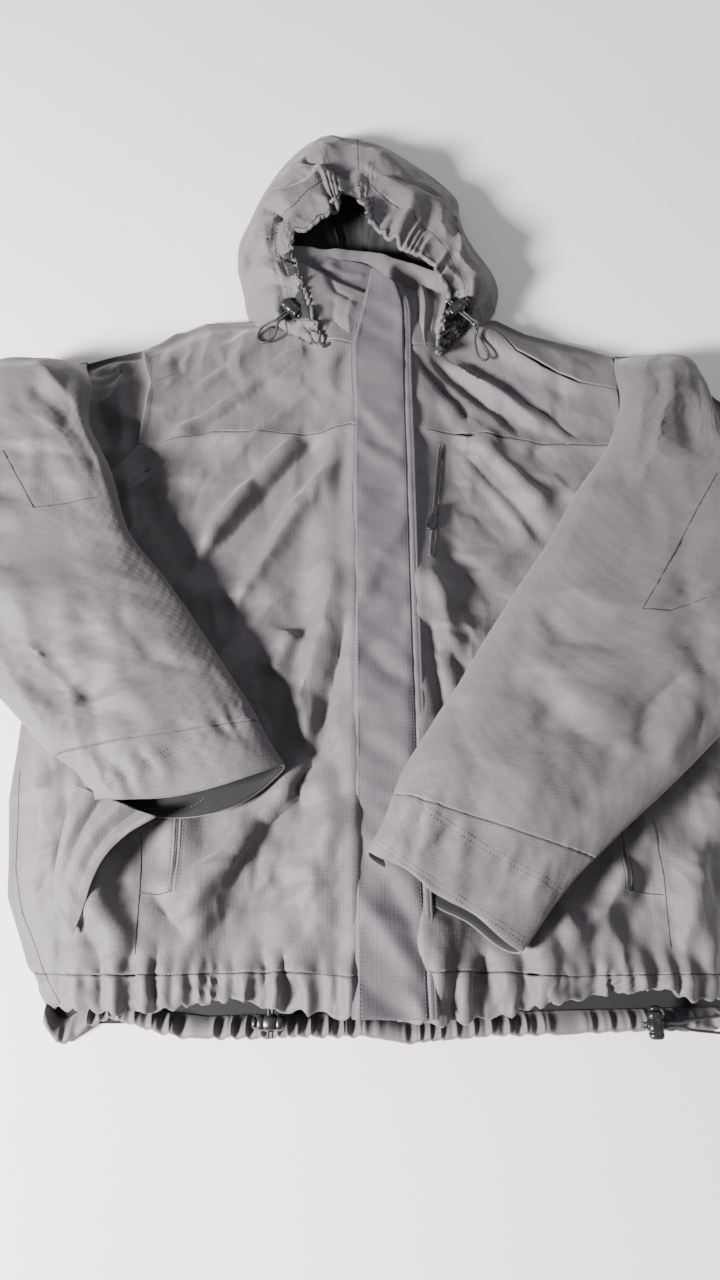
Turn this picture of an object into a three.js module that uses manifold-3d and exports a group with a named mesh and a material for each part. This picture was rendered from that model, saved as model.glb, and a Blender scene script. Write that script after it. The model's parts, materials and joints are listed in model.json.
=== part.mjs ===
// Hooded hardshell jacket lying on its back, closed, sleeves folded over the front.
// Frame: millimetres, +Z up. +Z is the jacket's front, +Y runs from hem to hood,
// +X runs to the wearer's left. The origin is on the resting plane, at the centre
// of the outline.
import * as THREE from 'three';
import { mergeVertices } from 'three/addons/utils/BufferGeometryUtils.js';
import Module from 'manifold-3d';

// ---------- driving dimensions ----------
const SHIFT = [2.95, -446, 0];     // pattern coordinates to the origin of the part
const FABRIC = 2.4;             // shell with its lining
const LOFT = 44;                // height of the body as it lies
const ROLL = 62;                // width over which an outer edge rolls down
const ZIP_X = 25;               // front closure line
const HEM_FRONT = -38;          // front hem edge
const HEM_BACK = -66;           // back hem edge
const HOOD_TOP = 958;           // crown of the hood
const YOKE_Y = 530;             // chest yoke seam
const NECK_Y = 640;             // front neck seam
const SEAM = 0.5;               // gap between two joined panels
const FLAP_Z = 60;              // underside of the storm flap
const FLAP_FREE = -4;           // free edge of the storm flap
const FLAP_SEWN = 57;           // sewn edge of the storm flap
const FLAP_SPLIT = 238;         // end of the part the cuff holds down
const SLEEVE_Z = 68;            // underside of a folded sleeve
const SLEEVE_H = 34;            // thickness of a folded sleeve
const CUFF_H = 30;              // thickness of a cuff
const CORD_D = 3;               // drawcord diameter

const wasm = await Module();
wasm.setup();
const group = new THREE.Group();

const SHELL = [0x77777c, 0.72, 0];
const TRIM = [0x6d6c72, 0.75, 0];
const LINING = [0x17181a, 0.85, 0];
const PLASTIC = [0x141416, 0.35, 0];
const METAL = [0x9a9a9c, 0.35, 1];

// ---------- helpers ----------
const clamp = (x, a, b) => Math.min(b, Math.max(a, x));
const mix = (a, b, t) => a + (b - a) * t;
const lerp = (table, y) => {
  if (y <= table[0][0]) return table[0][1];
  for (let i = 1; i < table.length; i++) {
    if (y <= table[i][0]) {
      return mix(table[i - 1][1], table[i][1], (y - table[i - 1][0]) / (table[i][0] - table[i - 1][0]));
    }
  }
  return table[table.length - 1][1];
};

function closed(positions, indices) {
  let vol = 0;
  for (let i = 0; i < indices.length; i += 3) {
    const [a, b, c] = [0, 1, 2].map((k) => positions.slice(indices[i + k] * 3, indices[i + k] * 3 + 3));
    vol += a[0] * (b[1] * c[2] - b[2] * c[1]) + a[1] * (b[2] * c[0] - b[0] * c[2]) + a[2] * (b[0] * c[1] - b[1] * c[0]);
  }
  if (vol < 0) for (let i = 0; i < indices.length; i += 3) [indices[i + 1], indices[i + 2]] = [indices[i + 2], indices[i + 1]];
  const g = new THREE.BufferGeometry();
  g.setAttribute('position', new THREE.Float32BufferAttribute(positions, 3));
  g.setIndex(indices);
  return g;
}

// A sheet between two grids of points, closed round its edge.
function sheet(top, bottom) {
  const nv = top.length, nu = top[0].length;
  const pos = [], idx = [];
  for (const g of [top, bottom]) for (const row of g) for (const p of row) pos.push(...p);
  const T = (i, j) => i * nu + j, B = (i, j) => nv * nu + i * nu + j;
  for (let i = 0; i < nv - 1; i++) for (let j = 0; j < nu - 1; j++) {
    idx.push(T(i, j), T(i, j + 1), T(i + 1, j + 1), T(i, j), T(i + 1, j + 1), T(i + 1, j));
    idx.push(B(i, j), B(i + 1, j + 1), B(i, j + 1), B(i, j), B(i + 1, j), B(i + 1, j + 1));
  }
  const rim = [];
  for (let j = 0; j < nu - 1; j++) rim.push([0, j]);
  for (let i = 0; i < nv - 1; i++) rim.push([i, nu - 1]);
  for (let j = nu - 1; j > 0; j--) rim.push([nv - 1, j]);
  for (let i = nv - 1; i > 0; i--) rim.push([i, 0]);
  for (let k = 0; k < rim.length; k++) {
    const [a, b] = [rim[k], rim[(k + 1) % rim.length]];
    idx.push(T(...a), B(...a), B(...b), T(...a), B(...b), T(...b));
  }
  return closed(pos, idx);
}

// A panel over a region between two edge curves, following a height function.
function panel(y0, y1, xl, xr, nu, nv, height, t = FABRIC) {
  const top = [], bottom = [];
  for (let i = 0; i <= nv; i++) {
    const y = mix(y0, y1, i / nv), a = xl(y), b = xr(y);
    top.push([]); bottom.push([]);
    for (let j = 0; j <= nu; j++) {
      const x = mix(a, b, j / nu), z = height(x, y);
      top[i].push([x, y, z]);
      bottom[i].push([x, y, z - t]);
    }
  }
  return sheet(top, bottom);
}

// A hollow flattened tube through stations [outer edge, inner edge] on the plane,
// open at both ends.
function flatTube(stations, zc, h, wall, n, steps) {
  const curve = (k) => new THREE.CatmullRomCurve3(stations.map((s) => new THREE.Vector3(s[k][0], s[k][1], s[2] ?? 0)), false, 'catmullrom', 0.5);
  const a = curve(0), b = curve(1), pos = [], idx = [];
  const rows = steps + 1;
  for (const inset of [0, wall]) for (let i = 0; i < rows; i++) {
    const t = i / steps, p = a.getPoint(t), q = b.getPoint(t);
    const c = p.clone().add(q).multiplyScalar(0.5), d = q.clone().sub(p).setZ(0);
    const w = d.length() / 2 - inset;
    d.normalize();
    for (let j = 0; j < n; j++) {
      const ang = (2 * Math.PI * (j + 0.5)) / n, cs = Math.cos(ang), sn = Math.sin(ang);
      const u = Math.sign(cs) * Math.abs(cs) ** 0.55, v = Math.sign(sn) * Math.abs(sn) ** 0.8;
      pos.push(c.x + d.x * w * u, c.y + d.y * w * u, zc + (h / 2 - inset) * v);
    }
  }
  const O = (i, j) => i * n + (j % n), I = (i, j) => rows * n + i * n + (j % n);
  for (let i = 0; i < rows - 1; i++) for (let j = 0; j < n; j++) {
    idx.push(O(i, j), O(i, j + 1), O(i + 1, j + 1), O(i, j), O(i + 1, j + 1), O(i + 1, j));
    idx.push(I(i, j), I(i + 1, j + 1), I(i, j + 1), I(i, j), I(i + 1, j), I(i + 1, j + 1));
  }
  for (const i of [0, rows - 1]) for (let j = 0; j < n; j++) {
    const f = i === 0 ? 1 : -1;
    const q = [O(i, j), I(i, j), I(i, j + 1), O(i, j + 1)];
    if (f > 0) idx.push(q[0], q[1], q[2], q[0], q[2], q[3]); else idx.push(q[0], q[2], q[1], q[0], q[3], q[2]);
  }
  return closed(pos, idx);
}

function cord(points, d, steps) {
  const curve = new THREE.CatmullRomCurve3(points.map((p) => new THREE.Vector3(...p)), false, 'centripetal');
  const s = new THREE.Shape();
  for (let k = 0; k < 8; k++) {
    const a = (Math.PI * 2 * k) / 8;
    if (k) s.lineTo((d / 2) * Math.cos(a), (d / 2) * Math.sin(a)); else s.moveTo((d / 2) * Math.cos(a), (d / 2) * Math.sin(a));
  }
  return new THREE.ExtrudeGeometry(s, { steps, bevelEnabled: false, extrudePath: curve, curveSegments: 1 });
}

function box(x, y, z, cx = 0, cy = 0, cz = 0) {
  const g = new THREE.BoxGeometry(x, y, z);
  g.translate(cx, cy, cz);
  return g;
}

function solid(geometry) {
  const g = geometry.clone();
  g.deleteAttribute('normal');
  g.deleteAttribute('uv');
  const m = mergeVertices(g, 1e-5);
  return new wasm.Manifold(new wasm.Mesh({
    numProp: 3,
    vertProperties: new Float32Array(m.attributes.position.array),
    triVerts: new Uint32Array(m.index.array),
  }));
}

function geometryOf(manifold) {
  const m = manifold.getMesh();
  const g = new THREE.BufferGeometry();
  g.setAttribute('position', new THREE.Float32BufferAttribute(m.vertProperties, 3));
  g.setIndex(Array.from(m.triVerts));
  return g;
}

function add(name, geometry, look, place) {
  const mesh = new THREE.Mesh(geometry, new THREE.MeshStandardMaterial({ color: look[0], roughness: look[1], metalness: look[2] }));
  mesh.name = name;
  const holder = new THREE.Group();
  holder.position.set(...SHIFT);
  if (place) {
    const inner = new THREE.Group();
    inner.position.set(...place.at);
    inner.rotation.z = place.turn || 0;
    inner.add(mesh);
    holder.add(inner);
  } else holder.add(mesh);
  group.add(holder);
}

// ---------- outlines ----------
const BODY_L = [[-66, -283], [-38, -292], [0, -312], [60, -335], [150, -345], [300, -335], [440, -300], [470, -282], [500, -246], [530, -222], [560, -214], [600, -222], [640, -238], [660, -245]];
const BODY_R = [[-66, 333], [-38, 342], [0, 362], [60, 378], [150, 385], [300, 375], [440, 340], [470, 322], [500, 285], [530, 268], [560, 262], [600, 270], [640, 283], [652, 285]];
const bodyL = (y) => lerp(BODY_L, y), bodyR = (y) => lerp(BODY_R, y);
// silhouette that the outer edges roll down to: body, sleeve heads and shoulders
const SILHOUETTE = [[-283, -400], [-283, -66], [-335, 60], [-345, 150], [-340, 300], [-330, 418], [-440, 410], [-460, 470], [-440, 560], [-385, 640], [-316, 636], [-246, 668], [-178, 705], [-116, 712], [20, 716], [160, 706], [195, 692], [286, 662], [345, 640], [400, 610], [438, 540], [450, 470], [440, 410], [368, 418], [378, 300], [385, 150], [376, 60], [333, -66], [333, -400]];
function edgeDistance(x, y) {
  let best = 1e9;
  for (let i = 0; i < SILHOUETTE.length - 1; i++) {
    const [ax, ay] = SILHOUETTE[i], [bx, by] = SILHOUETTE[i + 1];
    const t = clamp(((x - ax) * (bx - ax) + (y - ay) * (by - ay)) / ((bx - ax) ** 2 + (by - ay) ** 2), 0, 1);
    best = Math.min(best, Math.hypot(x - ax - t * (bx - ax), y - ay - t * (by - ay)));
  }
  return best;
}
const front = (x, y) => 6.5 + (LOFT - 6.5) * Math.sin((Math.PI / 2) * clamp(edgeDistance(x, y) / ROLL, 0, 1));

// ---------- back and lining ----------
add('back_panel', panel(-35, 690, (y) => (y < 470 ? bodyL(y) : y < 660 ? mix(-282, -236, (y - 470) / 190) : mix(-236, -118, (y - 660) / 30)),
  (y) => (y < 470 ? bodyR(y) : y < 660 ? mix(322, 276, (y - 470) / 190) : mix(276, 160, (y - 660) / 30)), 8, 20, () => 3, 3), SHELL);
// the back band rests flat, with its gathers on the upper side
const bandTop = [], bandUnder = [];
for (const y of [HEM_BACK, -54, -35.6]) {
  bandTop.push([]); bandUnder.push([]);
  for (let k = 0; k <= 40; k++) {
    const x = mix(-283, 333, k / 40);
    bandTop[bandTop.length - 1].push([x, y, 6 + (y < -50 ? 2.5 : 1.2) * (k % 2 ? 1 : -1)]);
    bandUnder[bandUnder.length - 1].push([x, y, 0]);
  }
}
add('hem_band_back', sheet(bandTop, bandUnder), TRIM);
add('lining_body', panel(-30, 640, (y) => bodyL(Math.min(y, 470)) + 16, (y) => bodyR(Math.min(y, 470)) - 16, 6, 8, () => 5, 1.2), LINING);

// ---------- front ----------
const leftOfZip = () => ZIP_X - 16.5, rightOfZip = () => ZIP_X + 16.5;
const seamR = (y) => -232 + ((y - 600) / 72) * 107, seamL = (y) => 272 - ((y - 600) / 66) * 110;
const neckR = (y) => (y < NECK_Y ? leftOfZip() : mix(-38, -108, (y - NECK_Y) / 38));
const neckL = (y) => (y < NECK_Y - 8 ? rightOfZip() : mix(92, 146, (y - NECK_Y) / 32));
add('front_panel_r', panel(-9.6, YOKE_Y - SEAM, (y) => bodyL(y) + 1, leftOfZip, 10, 16, front), SHELL);
add('front_panel_l', panel(-9.6, YOKE_Y - SEAM, rightOfZip, (y) => bodyR(y) - 1, 10, 16, front), SHELL);
add('yoke_r', panel(YOKE_Y, 672, (y) => (y < 600 ? bodyL(y) + 1 : seamR(y) + SEAM), neckR, 9, 10, front), SHELL);
add('yoke_l', panel(YOKE_Y, 666, neckL, (y) => (y < 600 ? bodyR(y) - 1 : seamL(y) - SEAM), 9, 10, front), SHELL);
add('shoulder_r', panel(604, 696, (y) => (y < 660 ? bodyL(y) + 1 : mix(-245, -150, (y - 660) / 40)),
  (y) => (y < 672 ? seamR(y) - 5 : mix(-127, -118, (y - 672) / 24)), 6, 8, front), SHELL);
add('shoulder_l', panel(604, 690, (y) => (y < 666 ? seamL(y) + 5 : mix(166, 160, (y - 666) / 24)),
  (y) => (y < 652 ? bodyR(y) - 1 : mix(285, 200, (y - 652) / 38)), 6, 8, front), SHELL);
add('hem_band_r', panel(HEM_FRONT, -10.2, (y) => bodyL(y) + 1, leftOfZip, 16, 2, front, 3.2), TRIM);
add('hem_band_l', panel(HEM_FRONT, -10.2, rightOfZip, (y) => bodyR(y) - 1, 16, 2, front, 3.2), TRIM);

// ---------- collar ----------
add('collar_front_r', panel(NECK_Y + 0.6, 712, (y) => mix(-30, -72, (y - 640) / 72) + 8 * Math.sin((Math.PI * clamp(y - 640, 0, 40)) / 40) * 0.15, leftOfZip, 5, 4, () => LOFT + 1, 3.2), SHELL);
add('collar_front_l', panel(NECK_Y + 0.6, 702, rightOfZip, (y) => mix(83, 128, (y - 640) / 62) - 1, 5, 4, () => LOFT + 1, 3.2), SHELL);
add('collar_back', panel(700, 728, () => -84, () => 110, 8, 3, (x) => 16 + 0.0006 * (x - 13) ** 2, 3), LINING);

// ---------- main zip ----------
const zipTop = 708, zipBottom = HEM_FRONT + 8;
add('zip_tape_r', box(12, zipTop - zipBottom, 1, ZIP_X - 10, (zipTop + zipBottom) / 2, LOFT + 3.4), LINING);
add('zip_tape_l', box(12, zipTop - zipBottom, 1, ZIP_X + 10, (zipTop + zipBottom) / 2, LOFT + 3.4), LINING);
const chain = new THREE.Shape();
chain.moveTo(-2.6, 0); chain.lineTo(2.6, 0); chain.lineTo(2.6, 2.2); chain.lineTo(1.2, 3); chain.lineTo(-1.2, 3); chain.lineTo(-2.6, 2.2); chain.closePath();
const chainGeo = new THREE.ExtrudeGeometry(chain, { depth: zipTop - zipBottom, bevelEnabled: false });
chainGeo.rotateX(Math.PI / 2);
chainGeo.translate(ZIP_X, zipTop, LOFT + 2.6);
add('zip_teeth', chainGeo, PLASTIC);
add('zip_bottom_box', box(11, 7, 6, ZIP_X, zipBottom - 4, LOFT + 4), PLASTIC);

// a slider is a plate with two side flanges that straddles its chain
function slider(w, l, clear, h) {
  const s = new THREE.Shape();
  s.moveTo(-w / 2, -clear); s.lineTo(-w / 2 + 1.4, -clear); s.lineTo(-w / 2 + 1.4, 0); s.lineTo(w / 2 - 1.4, 0);
  s.lineTo(w / 2 - 1.4, -clear); s.lineTo(w / 2, -clear); s.lineTo(w / 2, h * 0.7); s.lineTo(w / 2 - 1.5, h);
  s.lineTo(-w / 2 + 1.5, h); s.lineTo(-w / 2, h * 0.7); s.closePath();
  const g = new THREE.ExtrudeGeometry(s, { depth: l, bevelEnabled: false });
  g.rotateX(Math.PI / 2);
  g.translate(0, l / 2, 0);
  return g;
}
function pull(w, l, t) {
  const s = new THREE.Shape();
  s.moveTo(-w / 2 - 0.8, -l + 3); s.lineTo(-w / 2 + 1, -l); s.lineTo(w / 2 - 1, -l); s.lineTo(w / 2 + 0.8, -l + 3); s.lineTo(w / 2, 0); s.lineTo(-w / 2, 0); s.closePath();
  const tab = new THREE.ExtrudeGeometry(s, { depth: t, bevelEnabled: false });
  return geometryOf(solid(tab).subtract(solid(box(w / 2, 4, t + 2, 0, -l + 5, t / 2))));
}
add('zip_slider', slider(9, 11, 1.8, 2), PLASTIC, { at: [ZIP_X, 694, LOFT + 6] });
add('zip_pull', pull(5, 22, 1.4), PLASTIC, { at: [ZIP_X, 692, LOFT + 8.3] });

// ---------- storm flap ----------
add('storm_flap_upper', panel(FLAP_SPLIT + 0.4, 714, (y) => FLAP_FREE + (y > 640 ? (y - 640) * 0.16 : 0), (y) => FLAP_SEWN - 9 - (y > 690 ? (y - 690) * 0.5 : 0), 4, 14, () => FLAP_Z + FABRIC, FABRIC), SHELL);
add('storm_flap_lower', panel(HEM_FRONT + 2, FLAP_SPLIT, () => FLAP_FREE, () => FLAP_SEWN - 9, 4, 8, () => FLAP_Z + FABRIC, FABRIC), SHELL);
// the sewn edge of the flap: a wall that stands on the front panel and carries both parts
add('flap_binding', panel(HEM_FRONT + 2, 696, () => FLAP_SEWN - 8, () => FLAP_SEWN + 3, 1, 10, () => FLAP_Z + FABRIC, FLAP_Z - LOFT - 2), TRIM);

// ---------- sleeves ----------
const capL = [[430, -330], [455, -318], [470, -284], [500, -248], [530, -224], [560, -216], [600, -224], [636, -237]];
const capR = [[430, 368], [455, 356], [470, 324], [500, 287], [530, 270], [560, 264], [600, 272], [636, 281]];
add('sleeve_head_r', panel(430, 634, (y) => lerp([[430, -442], [470, -458], [560, -438], [634, -384]], y) + 1, (y) => Math.min(lerp(capL, y), bodyL(y)) - 7, 9, 9, front), SHELL);
add('sleeve_head_l', panel(430, 634, (y) => Math.max(lerp(capR, y), bodyR(y)) + 6, (y) => lerp([[430, 440], [470, 448], [540, 436], [634, 350]], y) - 1, 9, 9, front), SHELL);
const sz = SLEEVE_Z + SLEEVE_H / 2, cz = SLEEVE_Z + CUFF_H / 2;
add('sleeve_r', flatTube([[[-424, 578], [-306, 562]], [[-460, 450], [-252, 452]], [[-440, 340], [-192, 364]], [[-352, 238], [-135, 280]], [[-262, 164], [-96, 214]]], sz, SLEEVE_H, FABRIC, 16, 12), SHELL);
add('sleeve_l', flatTube([[[398, 566], [278, 552]], [[450, 440], [226, 462]], [[440, 330], [178, 383]], [[348, 212], [112, 274]], [[206, 88], [36, 147]]], sz, SLEEVE_H, FABRIC, 16, 12), SHELL);
add('cuff_r', flatTube([[[-261, 163], [-95.6, 213]], [[-236, 140], [-82, 194]], [[-205, 122], [-68, 173]]].map((s, i) => (i ? s : [[-259.6, 162], [-94.6, 212]])), cz, CUFF_H, FABRIC, 16, 4), TRIM);
add('cuff_l', flatTube([[[205, 86.2], [35.2, 145.2]], [[176, 54], [22, 116]], [[141, 12], [9, 93]]], cz, CUFF_H, FABRIC, 16, 4), TRIM);

// ---------- cuff tabs ----------
const tabR = [[-257, 136], [-197, 136], [-205, 112], [-214, 92], [-232, 74], [-240, 60], [-252, 28], [-268, 32], [-271, 60], [-268, 100]];
function plate(points, t) {
  const s = new THREE.Shape();
  points.forEach((p, i) => (i ? s.lineTo(...p) : s.moveTo(...p)));
  s.closePath();
  return new THREE.ExtrudeGeometry(s, { depth: t, bevelEnabled: false });
}
add('cuff_tab_r', plate(tabR, 3), TRIM, { at: [0, 0, SLEEVE_Z - 6] });
add('cuff_tab_l', plate([[118, 98], [186, 84], [178, 58], [108, 74]], 2.4), TRIM, { at: [0, 0, SLEEVE_Z - 3.4] });

// ---------- hood ----------
const hoodL = (y) => lerp([[706, -116], [741, -136], [782, -144], [830, -132], [874, -112], [920, -74], [945, -48], [958, -30]], y);
const hoodR = (y) => lerp([[706, 152], [741, 161], [782, 158], [830, 141], [874, 118], [920, 82], [945, 50], [958, 22]], y);
const hoodTopZ = (x, y) => {
  const d = Math.min(x - hoodL(y), hoodR(y) - x, HOOD_TOP + 2 - y);
  return 6.5 + 50 * Math.sin((Math.PI / 2) * clamp(d / 70, 0, 1));
};
add('hood_back', panel(706, HOOD_TOP, hoodL, hoodR, 6, 12, () => 3, 3), SHELL);
add('hood_side_r', panel(738, HOOD_TOP - 2, (y) => hoodL(y) + 1, (y) => (y < 804 ? mix(-84, -74, (y - 738) / 67) : 13), 6, 14, hoodTopZ), SHELL);
add('hood_side_l', panel(806, HOOD_TOP - 2, () => 13.5, (y) => Math.max(hoodR(y) - 1, 14), 7, 9, hoodTopZ), SHELL);
add('hood_cheek_l', panel(738, 805.5, (y) => mix(112, 42, (y - 738) / 67), (y) => hoodR(y) - 1, 5, 4, hoodTopZ), SHELL);
const brimPath = new THREE.CatmullRomCurve3([[-78, 742, 62], [-70, 762, 66], [-50, 786, 68], [-12, 797, 68], [22, 786, 66], [60, 764, 65], [92, 742, 62]].map((p) => new THREE.Vector3(...p)));
const brimShape = new THREE.Shape();
for (let k = 0; k < 8; k++) { const a = (Math.PI * k) / 4; const p = [5.5 * Math.cos(a), 4.5 * Math.sin(a)]; if (k) brimShape.lineTo(...p); else brimShape.moveTo(...p); }
add('hood_brim', new THREE.ExtrudeGeometry(brimShape, { steps: 26, bevelEnabled: false, extrudePath: brimPath }), TRIM);

// ---------- pocket zips ----------
const chest = { top: [87, 526], bottom: [73, 392], slider: [78.5, 446] };
const chestAngle = Math.atan2(chest.top[0] - chest.bottom[0], chest.top[1] - chest.bottom[1]);
const chestLen = Math.hypot(chest.top[0] - chest.bottom[0], chest.top[1] - chest.bottom[1]);
const rail = (l) => {
  const s = new THREE.Shape();
  s.moveTo(-6, 0); s.lineTo(6, 0); s.lineTo(6, 0.8); s.lineTo(2, 0.8); s.lineTo(1.6, 2.2); s.lineTo(-1.6, 2.2); s.lineTo(-2, 0.8); s.lineTo(-6, 0.8); s.closePath();
  const g = new THREE.ExtrudeGeometry(s, { depth: l, bevelEnabled: false });
  g.rotateX(Math.PI / 2);
  g.translate(0, l / 2, 0);
  return g;
};
const at = (p, z) => [p[0], p[1], z];
add('chest_zip', rail(chestLen), LINING, { at: at([80, 459], LOFT + 0.4), turn: -chestAngle });
add('chest_zip_slider', slider(7, 9, 1.3, 1.8), PLASTIC, { at: at(chest.slider, LOFT + 2.9), turn: -chestAngle });
add('chest_zip_pull', pull(5, 24, 1.4), PLASTIC, { at: at(chest.slider, LOFT + 5), turn: -chestAngle - 0.12 });
add('chest_pocket', panel(386, 524, () => 92, () => 214, 3, 3, () => LOFT - 6, 1.2), LINING);
for (const [n, x, s] of [['r', -170, -1], ['l', 245, 1]]) {
  add(`hand_zip_${n}`, rail(165), LINING, { at: [x, 145, LOFT + 0.4], turn: s * 0.02 });
  add(`hand_zip_slider_${n}`, slider(7, 9, 1.3, 1.8), PLASTIC, { at: [x - s * 1.4, 216, LOFT + 2.9], turn: s * 0.02 });
  add(`hand_zip_pull_${n}`, pull(5, 22, 1.4), PLASTIC, { at: [x - s * 1.4, 216, LOFT + 5], turn: s * 0.02 });
  add(`hand_pocket_${n}`, panel(20, 226, () => x - (s < 0 ? -10 : 132), () => x + (s < 0 ? 132 : -10), 3, 3, () => LOFT - 6, 1.2), LINING);
}

// ---------- cord locks ----------
// body with a cross bore for the cord and a bore along it for the sprung plunger
function lockBody() {
  const bore = new THREE.CylinderGeometry(3.6, 3.6, 22, 16);
  bore.rotateZ(Math.PI / 2);
  bore.translate(2, 0, 0);
  return geometryOf(solid(box(24, 14, 12)).subtract(solid(bore)).subtract(solid(box(7, 18, 4.6))));
}
function lockButton() {
  const stem = new THREE.CylinderGeometry(3.2, 3.2, 21.8, 16);
  stem.rotateZ(Math.PI / 2);
  stem.translate(5.1, 0, 0);
  return geometryOf(solid(stem).subtract(solid(box(10.4, 12, 4.6, 1.5, 0, 0))));
}
// each lock: its place, its turn about Z, and the free loop beyond its straight strands
const LOCKS = {
  hood_lock_r: { at: [-76, 690, 55], turn: -0.75, loop: [[-4, -27, -1], [-9, -38, -5], [-4, -50, -7], [5, -50, -7], [9, -38, -5], [4, -27, -1]], cord: 'hood_cord_r' },
  hood_lock_l: { at: [108, 690, 55], turn: 0.764, loop: [[-4, -32, -1.5], [-8, -44, -6], [-12, -60, -7.5], [-20, -66, -7.5], [-24, -58, -7.5], [-12, -40, -5], [3, -30, -1]], cord: 'hood_cord_l' },
  hem_lock_r: { at: [-80, -50, 27], turn: Math.PI, loop: [[-5, -28, 0], [-8, -40, 0], [-5, -50, 0], [5, -50, 0], [8, -40, 0], [5, -28, 0]], cord: 'hem_cord_r' },
  hem_lock_l: { at: [264, -52, 27], turn: Math.PI / 2, loop: [[-4, -32, -2], [-6, -50, -8], [-7, -70, -12], [0, -82, -12], [7, -70, -12], [6, -50, -8], [4, -32, -2]], cord: 'hem_cord_l' },
};
for (const [name, k] of Object.entries(LOCKS)) {
  add(name, lockBody(), PLASTIC, k);
  add(`${name}_button`, lockButton(), PLASTIC, k);
  const run = (x) => [13, 6, 0, -8, -16, -23].map((y) => [x, y, 0]);
  add(k.cord, cord([...run(-1.7), ...k.loop, ...run(1.7).reverse()], CORD_D - 0.4, 48), LINING, k);
}

export default group;
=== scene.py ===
import math
import json

import bpy
import numpy as np
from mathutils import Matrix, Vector
from mathutils.bvhtree import BVHTree

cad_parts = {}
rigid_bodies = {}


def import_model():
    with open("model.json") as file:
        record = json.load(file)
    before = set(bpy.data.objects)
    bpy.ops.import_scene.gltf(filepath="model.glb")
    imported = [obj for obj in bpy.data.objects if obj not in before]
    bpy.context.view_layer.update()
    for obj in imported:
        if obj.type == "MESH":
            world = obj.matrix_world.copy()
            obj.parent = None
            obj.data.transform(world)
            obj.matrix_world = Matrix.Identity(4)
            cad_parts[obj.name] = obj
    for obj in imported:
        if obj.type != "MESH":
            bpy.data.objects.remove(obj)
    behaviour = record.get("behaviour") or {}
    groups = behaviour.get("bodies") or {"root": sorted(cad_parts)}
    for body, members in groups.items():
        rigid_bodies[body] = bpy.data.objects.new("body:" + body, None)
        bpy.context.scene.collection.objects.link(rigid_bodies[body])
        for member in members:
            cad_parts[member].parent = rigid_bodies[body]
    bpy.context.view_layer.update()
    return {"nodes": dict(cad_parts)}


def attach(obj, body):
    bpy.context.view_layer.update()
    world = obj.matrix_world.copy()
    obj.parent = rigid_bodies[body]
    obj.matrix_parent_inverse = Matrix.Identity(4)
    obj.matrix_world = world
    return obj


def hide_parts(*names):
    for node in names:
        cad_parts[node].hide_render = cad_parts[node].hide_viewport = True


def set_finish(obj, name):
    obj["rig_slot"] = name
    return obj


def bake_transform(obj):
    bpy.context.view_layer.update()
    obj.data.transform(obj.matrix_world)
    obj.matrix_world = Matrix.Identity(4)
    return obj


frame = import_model()

# ------------------------------------------------------------------ camera
SH = np.array([2.95, -446.0, 0.0])          # pattern millimetres to the row frame


def R(p):
    return (np.asarray(p, float) + SH) * 0.001


cam_data = bpy.data.cameras.new("camera")
cam = bpy.data.objects.new("camera", cam_data)
bpy.context.scene.collection.objects.link(cam)
cam.location = (0.00295, -0.446, 0.95)
cam.rotation_euler = (math.radians(90 - 71.4), 0, 0)
cam_data.lens = 36 * 962 / 1280
cam_data.sensor_width = 36
bpy.context.scene.camera = cam

# ------------------------------------------------------------------ cords
CORD_MM = 2.6
CORDS = {
    "hood_cord_r": ((-76, 690, 55), -0.75, [(-4, -27, -1), (-9, -38, -5), (-4, -50, -7), (5, -50, -7), (9, -38, -5), (4, -27, -1)]),
    "hood_cord_l": ((108, 690, 55), 0.764, [(-4, -32, -1.5), (-8, -44, -6), (-12, -60, -7.5), (-20, -66, -7.5), (-24, -58, -7.5),
                                            (-12, -40, -5), (3, -30, -1)]),
    "hem_cord_r": ((-80, -50, 27), math.pi, [(-5, -28, 0), (-8, -40, 0), (-5, -50, 0), (5, -50, 0), (8, -40, 0), (5, -28, 0)]),
    "hem_cord_l": ((264, -52, 27), math.pi / 2, [(-4, -32, -2), (-6, -50, -8), (-7, -70, -12), (0, -82, -12), (7, -70, -12),
                                                 (6, -50, -8), (4, -32, -2)])}


def through(pts, n):
    """A smooth curve through points, evenly spaced."""
    pts = np.asarray(pts, float)
    for _ in range(3):
        E = np.concatenate([2 * pts[:1] - pts[1:2], pts, 2 * pts[-1:] - pts[-2:-1]])
        mid = (9 * (E[1:-2] + E[2:-1]) - E[:-3] - E[3:]) / 16
        out = np.empty((len(pts) * 2 - 1, 3))
        out[0::2], out[1::2] = pts, mid
        pts = out
    seg = np.linalg.norm(np.diff(pts, axis=0), axis=1)
    t = np.concatenate([[0], np.cumsum(seg)]) / seg.sum()
    return np.stack([np.interp(np.linspace(0, 1, n), t, pts[:, k]) for k in range(3)], -1)


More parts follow.
